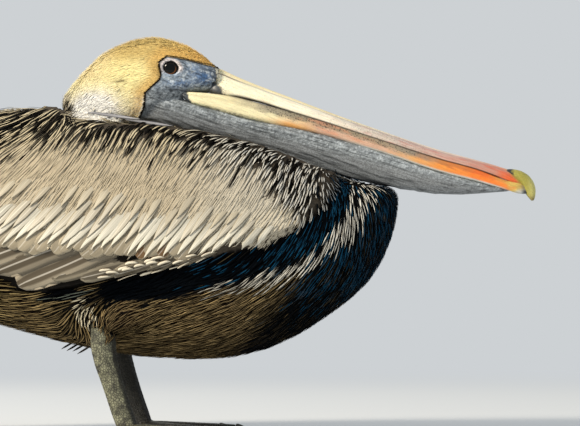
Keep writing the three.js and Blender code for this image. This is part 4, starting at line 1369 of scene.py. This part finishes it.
def wingShades(p, zone, rng):
    x, y, z = p.T
    n = len(p)
    # what shows of a vane is its outer half, so its colour goes by where that lies
    share = wingShare(p + lie(p) * wingPlan["shows"]) + rng.normal(0, 0.035, n)
    lesser = lesserShare(x, share)
    greater = smoothStep(0.5, 0.75, share) * (1 - lesser)
    fore = smoothStep(60, 150, x)
    paleLesser = mix(tone["lesserPale"], tone["lesserGrey"], smoothStep(20, 90, x))
    paleMedian = mix(tone["medianPale"], tone["medianGrey"], smoothStep(20, 110, x))
    ground = mix(mix(paleMedian * 0.9, tone["lesserDark"], lesser), tone["greaterEdge"], greater)
    streak = mix(mix(paleMedian, paleLesser, lesser), tone["greaterPale"], greater)
    width = 0.9 - (0.34 + 0.08 * smoothStep(-60, 0, x)) * lesser
    # some small shoulder vanes are black, so the pale ones stand out as streaks
    ahead = smoothStep(-60, 0, x)
    blackShare = np.interp(x, [-140, -90, -40, 20, 60, 100], [0.55, 0.85, 0.9, 0.65, 0.5, 0.22])
    black = apart(p, rng, wingPlan["blackApart"]) & (rng.random(n) < lesser * blackShare)
    streak[black] = tone["lesserDark"]
    # painted shade: a few vanes below the shoulder are dark, standing for shaded gaps between the feathers
    gap = (rng.random(n) < wingPlan["gapShadeShare"]) & (lesser < 0.2)
    ground[gap] = tone["lesserDark"]
    width[gap] = wingPlan["gapShadeWidth"]
    front = smoothStep(150, 172, x + (210 - z) * 0.1)
    # painted blue sheen along the front of the wing
    streak = mix(streak, tone["paintedBlueSheen"], front * 0.75)
    rear = smoothStep(-120, -220, x)
    length = wingPlan["length"] + 18 * (1 - lesser) + rear * 10
    half = wingPlan["half"] + 0.15 * (1 - lesser) + 0.2 * greater + rear * 0.9
    half = half * (1 - 0.15 * fore) + 0.45 * lesser * ahead
    rise = wingPlan["rise"] - 3.4 * (1 - lesser)
    # no tip passes the line where the coverts end
    left = distanceToLine(p[:, [0, 2]], plan["covertTips"])
    room = np.where(z < heightOf(plan["covertTips"], x), -left, left)
    longest = np.maximum(room + rng.uniform(-2, 8, n), wingPlan["shortest"])
    length = np.clip(length, wingPlan["shortest"], longest)
    ground = varied(rng, ground, 0.08)
    width = width * rng.uniform(0.9, 1.1, n)
    streak = varied(rng, streak, 0.07)
    return vaneShades(ground, width, streak, 0.2 * greater, length, half, rise=rise)


tracts = {
    "head": {"shape": [(0, 0.7), (0.45, 1.0), (1.0, 0.12)], "rise": 2.0, "sink": 0.2, "thick": 0.05,
             "roll": 0.04, "stray": 6,
             "shades": headShades, "slot": "plumage_pale"},
    "body": {"shape": [(0, 0.55), (0.4, 1.0), (0.78, 0.8), (1.0, 0.1)], "rise": 4.0, "sink": 0.3,
             "thick": 0.16, "stray": 5,
             "shades": bodyShades, "slot": "plumage_brown"},
    "wing": {"shape": [(0, 0.5), (0.3, 0.95), (0.6, 1.0), (0.85, 0.6), (1.0, 0.07)], "rise": 5.4,
             "sink": 0.3, "thick": 0.16, "stray": 4,
             "stiffness": 0.3, "roll": 0.06, "shades": wingShades, "slot": "plumage_silver"},
}

wingLowerEdge = [(-230, 172), (-190, 146), (-119, 138), (-112, 131), (-95, 130), (-62, 134.5), (-17, 144.5),
                 (38, 157), (76, 168), (104, 176)]
faceShare = wingShare(faceCentre)
faceX, faceY, faceZ = faceCentre.T
isLegs = np.isin(faceZone, skinNodes["legs"])
isCoverts = np.char.endswith(faceZone, "_coverts")
isFlight = np.char.endswith(faceZone, "secondaries") | np.char.endswith(faceZone, "primaries")
onCheek = np.isin(faceZone, ["neck_lower", "breast", "trunk"]) & (faceZ > 281) & (np.abs(faceX + 38) < 42)
isHead = (np.isin(faceZone, ["head", "head_nape", "neck_upper"]) | onCheek) & ~faceBare
isWing = isCoverts & ((faceShare < 0.8) | (faceX > 95) | (faceX < -225))
underWing = (np.abs(faceY) > 45) & (faceZ > heightOf(wingLowerEdge, faceX) + 1)
underWing = underWing & (faceX > -230) & (faceX < 104) & (faceZ < 215)
isBody = ~(isHead | isWing | underWing | isCoverts | isFlight | faceBare | isLegs | (faceZone == "pouch"))
onRight = faceY < 0
inFront = faceX > 60
headSpacing = 0.5 + 0.12 * smoothStep(3, 20, distanceToLine(faceCentre[:, [0, 2]], plan["faceBorder"]))
headSpacing = headSpacing + 0.7 * (faceZone == "neck_upper") * smoothStep(287, 284, faceZ)
bodySpacing = np.interp(faceX, bodyPlan["sizeAt"], bodyPlan["spacings"])
nearBand = distanceToLine(faceCentre[:, [0, 2]], plan["paleBand"]) < bodyPlan["bandReach"]
bodySpacing = bodySpacing + 0.8 * nearBand * smoothStep(90, 130, faceX)
shoulder = lesserShare(faceX, faceShare + 0.1) * (0.2 + 0.5 * smoothStep(-60, 0, faceX))
wingSpacing = np.interp(faceX, [-220, -120, 60, 150], [2.0, 1.2, 1.1, 1.05]) * (1 + shoulder)
fields = [
    ("headFeathers", "head", isHead, headSpacing, 2.1),
    ("breastFeathers", "body", isBody & inFront, bodySpacing, 3.4),
    ("flankFeathers", "body", isBody & ~inFront, bodySpacing, 3.4),
    ("wingCoverts", "wing", isWing, wingSpacing, 4.2),
]
for seed, (name, tractName, chosen, spacing, stretch) in enumerate(fields):
    for label, side in sides.items():
        tract = tracts[tractName]
        rng = np.random.default_rng(100 + seed * 2 + side)
        onSide = chosen & (onRight == (side < 0))
        roots, heading, picked = scatter(onSide, spacing, spacing * stretch, 10 + seed)
        shades = tract["shades"](roots, faceZone[picked], rng)
        piece = smallVanes(name + "_" + label, tract, roots, heading, shades, softVane, 50 + seed * 2 + side)
        finishPiece(piece, tract["slot"], smooth=False)


def onFlank(x, z, side):
    # the point of the skin seen straight from that side, or one near the midline where there is none
    found = skinTree.ray_cast(Vector((x, 200 * side, z)), Vector((0, -side, 0)))[0]
    return tuple(found) if found else (x, 10 * side, z)


# a fine dark rim of bristly feathers round the naked face, partly painted shade under its edge, and small
# oval feathers under the wing's edge
rimPlan = {"spacing": 0.55, "forward": 0.8, "length": 2.3, "half": 0.32, "edge": "#1a130c",
           "centre": "#1a130c", "width": 0.5}
ovalPlan = {
    # rows: height over the wing's lower edge, shift forward, foremost x
    "first": -30, "step": 11.5, "rows": [(3, 0, 70), (6.5, 6, 56), (10, 2, 24)], "jitterX": 2.6,
    "jitterZ": 1.3,
    "length": 11.5, "half": 1.75, "edge": "#4e3826", "centre": "#e3dac4", "width": 0.72,
    "way": (-1.0, 0.0, 0.12),
}


def placedVanes(name, points, side, tract, values, slot, seed, way=None):
    # small vanes rooted at given points of the side, pointing one way or, with none given, with the lie
    roots = np.array([onFlank(x, z, side) for x, z in points])
    normals = nearestOnSkin(roots)[1]
    rng = np.random.default_rng(seed)
    count = len(roots)
    ground = varied(rng, np.tile(hexToLinear(values["edge"]), (count, 1)), 0.2)
    streak = varied(rng, np.tile(hexToLinear(values["centre"]), (count, 1)), 0.1)
    width, length, half = (np.full(count, values[key]) for key in ("width", "length", "half"))
    shades = vaneShades(ground, width, streak, np.zeros(count), length, half)
    heading = lie(roots) if way is None else np.tile(unit(np.array([way])), (count, 1))
    piece = smallVanes(name, tract, roots, onto(heading, normals), shades, softVane, seed)
    return finishPiece(piece, slot)


def alongLine(line, spacing):
    line = np.array(line, float)
    walked = np.concatenate([[0], np.cumsum(np.hypot(*np.diff(line, axis=0).T))])
    at = np.arange(0, walked[-1], spacing)
    return np.stack([np.interp(at, walked, line[:, 0]), np.interp(at, walked, line[:, 1])], 1)


# dark spiky tips that hang a little below the line of the belly behind the leg
hangPlan = {"roots": [(-67, 85), (-62, 83.5), (-56.5, 83), (-51, 81.5)], "fall": (-13, 0, -7.5), "half": 0.9,
            "lift": 0.0,
            "roll": 0.0, "edge": "#15110d", "centre": "#15110d", "width": 0.5, "shaft": 0.0}
ovalTract = {"shape": [(0, 0.5), (0.35, 0.95), (0.75, 1.0), (0.93, 0.75), (1.0, 0.35)], "rise": 1.6,
             "sink": -3.0, "thick": 0.6,
             "stray": 7, "stiffness": 1.0}
rimTract = {"shape": [(0, 0.8), (0.5, 1.0), (1.0, 0.15)], "rise": 0.9, "sink": -0.1, "thick": 0.15,
            "stray": 14}
for label, side in sides.items():
    rim = alongLine(plan["faceBorder"], rimPlan["spacing"]) + [rimPlan["forward"], 0]
    placedVanes("faceRim_" + label, rim, side, rimTract, rimPlan, "plumage_dark", 70 + side)
    hanging = []
    for x, z in hangPlan["roots"]:
        root = np.array(onFlank(x, z, side)) * [1, 0.9, 1]
        hanging.append({**hangPlan, "root": root, "tip": root + hangPlan["fall"]})
    quillPiece("ventTips_" + label, hanging, "plumage_dark", [], 12, "pointed", (0.0, float(side), 0.0))
    spots = []
    for lift, shift, last in ovalPlan["rows"]:
        for x in np.arange(ovalPlan["first"] + shift, last, ovalPlan["step"]):
            z = heightOf(wingLowerEdge, x) + lift
            spots.append((x + ovalPlan["jitterX"] * math.sin(x * 3),
                          z + ovalPlan["jitterZ"] * math.sin(x * 5)))
    placedVanes("wingEdgeOvals_" + label, spots, side, ovalTract, ovalPlan, "plumage_pale", 74 + side,
                ovalPlan["way"])


# greater coverts: long silver lancets over broad beige ones, all ending near one line
greaterPlan = {
    # above: how far the tips stop above the line; foremost: the x where the row ends
    "under": {"shape": "rounded", "above": -1, "spacing": 9.5, "half": 8.0, "length": 50, "lift": 2.0,
              "shaft": 0.3, "edge": "#b8ad96", "centre": "#948a76", "width": 0.78, "foremost": 34},
    "lower": {"shape": "pointed", "above": 3, "spacing": 9.8, "half": 4.3, "length": 56, "lift": 3.0,
              "shaft": 0.7, "edge": "#a9a08b", "centre": "#c8c4b5", "width": 0.78, "foremost": 98},
    "middle": {"shape": "pointed", "above": 16, "spacing": 11.4, "half": 3.8, "length": 52, "lift": 2.5,
               "shaft": 0.5, "edge": "#a59a84", "centre": "#bbb4a3", "width": 0.78, "foremost": 90},
    "upper": {"shape": "pointed", "above": 32, "spacing": 15.0, "half": 3.8, "length": 46, "lift": 1.7,
              "shaft": 0.2, "edge": "#a59a84", "centre": "#b0a793", "width": 0.78, "foremost": 84},
}
browns = {"edge": "#b5a68b", "centre": "#6d553b"}
brownShare = 0.3
covertLine = [p for p in plan["covertTips"] if -240 < p[0] < 110]
for rowIndex, (rowName, row) in enumerate(greaterPlan.items()):
    for label, side in sides.items():
        rng = np.random.default_rng(200 + rowIndex * 2 + side)
        ends = alongLine(covertLine, row["spacing"])
        quills = []
        for x, z in ends[ends[:, 0] < row["foremost"]]:
            # smaller towards the front of the wing
            size = float(np.interp(x, [30, 90, 130], [1, 0.72, 0.5]))
            x, z = x + rng.normal(0, 1.6), z + row["above"] * size + rng.normal(0, 2.0 + row["above"] * 0.12)
            tip = np.array(onFlank(x, z, side))
            root = tip - lie(tip[None])[0] * row["length"] * size * rng.uniform(0.9, 1.1)
            brown = rowName == "under" and rng.random() < brownShare * (x > -20)
            quills.append({**row, **(browns if brown else {}), "root": onFlank(root[0], root[2], side),
                           "tip": tip,
                           "half": row["half"] * size * rng.uniform(0.85, 1.15),
                           "lift": row["lift"] * (0.6 + 0.4 * size), "roll": -0.5 * side})
        name = "greaterCoverts_" + rowName + "_" + label
        quillPiece(name, quills, "plumage_silver", [], 30 + rowIndex, row["shape"], rootSink=5.0)


# secondaries and tertials, tip and root in x and z: from the foremost up to the one beside the rump
secondaryPlan = {
    "outer": [((24, 156), (104, 184)), ((-2, 150), (88, 180)), ((-30, 146), (74, 176)),
              ((-60, 143.5), (60, 171)), ((-86, 144), (44, 182))],
    "inner": [((-119, 140), (40, 196)), ((-141, 148), (20, 204)), ((-166, 153), (0, 210)),
              ((-190, 150), (-40, 200)), ((-205, 157), (-58, 206)), ((-213, 166), (-72, 216)),
              ((-222, 176), (-86, 227)), ((-232, 187), (-100, 238)), ((-243, 198), (-113, 248)),
              ((-253, 208), (-127, 258)), ((-262, 217), (-140, 267)), ((-268, 226), (-150, 276))],
    "groups": {
        "outer": {"half": 8.5, "lift": 0.6, "edge": "#847c6b", "centre": "#5c5548", "width": 0.45,
                  "shaft": 0.3},
        "inner": {"half": 12.5, "lift": 1.3, "edge": "#8a8170", "centre": "#584f41", "width": 0.45,
                  "shaft": 0.4},
    },
}
flightRoll = -0.7
for label, side in sides.items():
    quills = []
    for group, values in secondaryPlan["groups"].items():
        for tip, root in secondaryPlan[group]:
            quills.append({**values, "root": onFlank(*root, side), "tip": onFlank(*tip, side),
                           "roll": flightRoll * side})
    quillPiece("secondaries_" + label, quills, "flight_feather", ["wing_" + label + "_secondaries"], 7,
               rootSink=6.0)

primaryPlan = {"count": 9, "half": 9.5, "edge": "#191613", "centre": "#3a352f", "width": 0.85, "shaft": 0.5}
for label, side in sides.items():
    quills = []
    for t in np.linspace(0, 1, primaryPlan["count"]):
        root = (-175 - 40 * t, 148 + 77 * t)
        tip = (-350 + 54 * t, 131 + 65 * t)
        quills.append({**primaryPlan, "root": onFlank(*root, side), "tip": onFlank(*tip, side),
                       "lift": 0.3 + 0.6 * t,
                       "roll": flightRoll * side})
    quillPiece("primaries_" + label, quills, "flight_feather", ["wing_" + label + "_primaries"], 8)

tailPlan = {"perSide": 11, "half": 11.5, "roll": -0.5, "edge": "#3d3833", "centre": "#6d665d", "width": 0.8,
            "shaft": 0.8}
quills = []
for side in (1, -1):
    for t in np.linspace(0, 1, tailPlan["perSide"]):
        root = (-222, side * (3 + 24 * t), 158 - 6 * t)
        tip = (-353 + 26 * t**1.6, side * (5 + 46 * t), 121.5 - 4 * t)
        quills.append({**tailPlan, "root": root, "tip": tip, "lift": 0.2 - 2.6 * t,
                       "roll": tailPlan["roll"] * side})
quillPiece("tailFeathers", quills, "flight_feather", ["tail"], 9, facing=(0.0, 0.0, 1.0))

# two long thin shoulder plumes that lie along the top of the wing, beside the neck
plumePlan = {"lines": [((-54, 293.5), (-6, 286.5)), ((-20, 287), (23, 280.5))], "y": 51, "half": 1.7,
             "lift": 0.0, "roll": 0.0,
             "edge": "#66656a", "centre": "#98989d", "width": 0.7, "shaft": 0.6}
for label, side in sides.items():
    quills = []
    for line in plumePlan["lines"]:
        root, tip = ((x, plumePlan["y"] * side, z) for x, z in line)
        quills.append({**plumePlan, "root": root, "tip": tip})
    quillPiece("shoulderPlumes_" + label, quills, "plumage_silver", [], 11, "pointed",
               (0.0, float(side), 0.5))

print("coat triangles", sum(coatCount.values()))


stagePlan = {"floorRadius": 12.0, "litRadius": 1.2, "fadeRadius": 2.4, "backdrop": "#cdd1d4",
             "floor": "#d2d4d5"}


def floorMaterial():
    # matt painted floor that melts into the plain backdrop with distance
    made, tree = newMaterial("paintedFloor")
    away = addNode(tree, "ShaderNodeVectorMath",
                   {"operation": "LENGTH", 0: objectPlace(tree)}).outputs["Value"]
    share = rangeOf(tree, away, stagePlan["litRadius"], stagePlan["fadeRadius"], kind="SMOOTHSTEP")
    paint = addNode(tree, "ShaderNodeBsdfDiffuse", {"Color": colour(stagePlan["floor"])}).outputs[0]
    glow = addNode(tree, "ShaderNodeEmission", {"Color": colour(stagePlan["backdrop"])}).outputs[0]
    closeMaterial(tree, {0: share, 1: paint, 2: glow}, "ShaderNodeMixShader")
    return made


deselectAll()
bpy.ops.mesh.primitive_circle_add(vertices=96, radius=stagePlan["floorRadius"], fill_type="NGON")
floor = bpy.context.object
floor.name = "floor"
floor.data.materials.append(floorMaterial())

world = bpy.data.worlds.new("studio")
bpy.context.scene.world = world
world.use_nodes = True
world.node_tree.nodes["Background"].inputs["Color"].default_value = colour(stagePlan["backdrop"])
world.node_tree.nodes["Background"].inputs["Strength"].default_value = 1.0
bpy.context.scene.view_settings.view_transform = "Standard"

lightAim = Vector((0.03, 0, 0.2))
lights = [
    # name, place, size, power, colour
    ("key", (-2.8, -2.5, 2.2), 0.9, 225, "#fff3df"),
    ("rim", (-1.6, 1.8, 2.4), 1.2, 20, "#ffffff"),
]
for name, place, size, power, tint in lights:
    lamp = bpy.data.lights.new(name, "AREA")
    lamp.size = size
    lamp.energy = power
    lamp.color = hexToLinear(tint)
    made = newObject(name, lamp)
    made.location = place
    made.rotation_euler = (lightAim - Vector(place)).to_track_quat("-Z", "Y").to_euler()

cameraPlan = {"x": 0.1293, "z": 0.202, "distance": 6.0, "lens": 407, "sensor": 36}
lens = bpy.data.cameras.new("camera")
lens.lens = cameraPlan["lens"]
lens.sensor_width = cameraPlan["sensor"]
camera = newObject("camera", lens)
camera.location = (cameraPlan["x"], -cameraPlan["distance"], cameraPlan["z"])
camera.rotation_euler = (math.radians(90), 0, 0)
bpy.context.scene.camera = camera
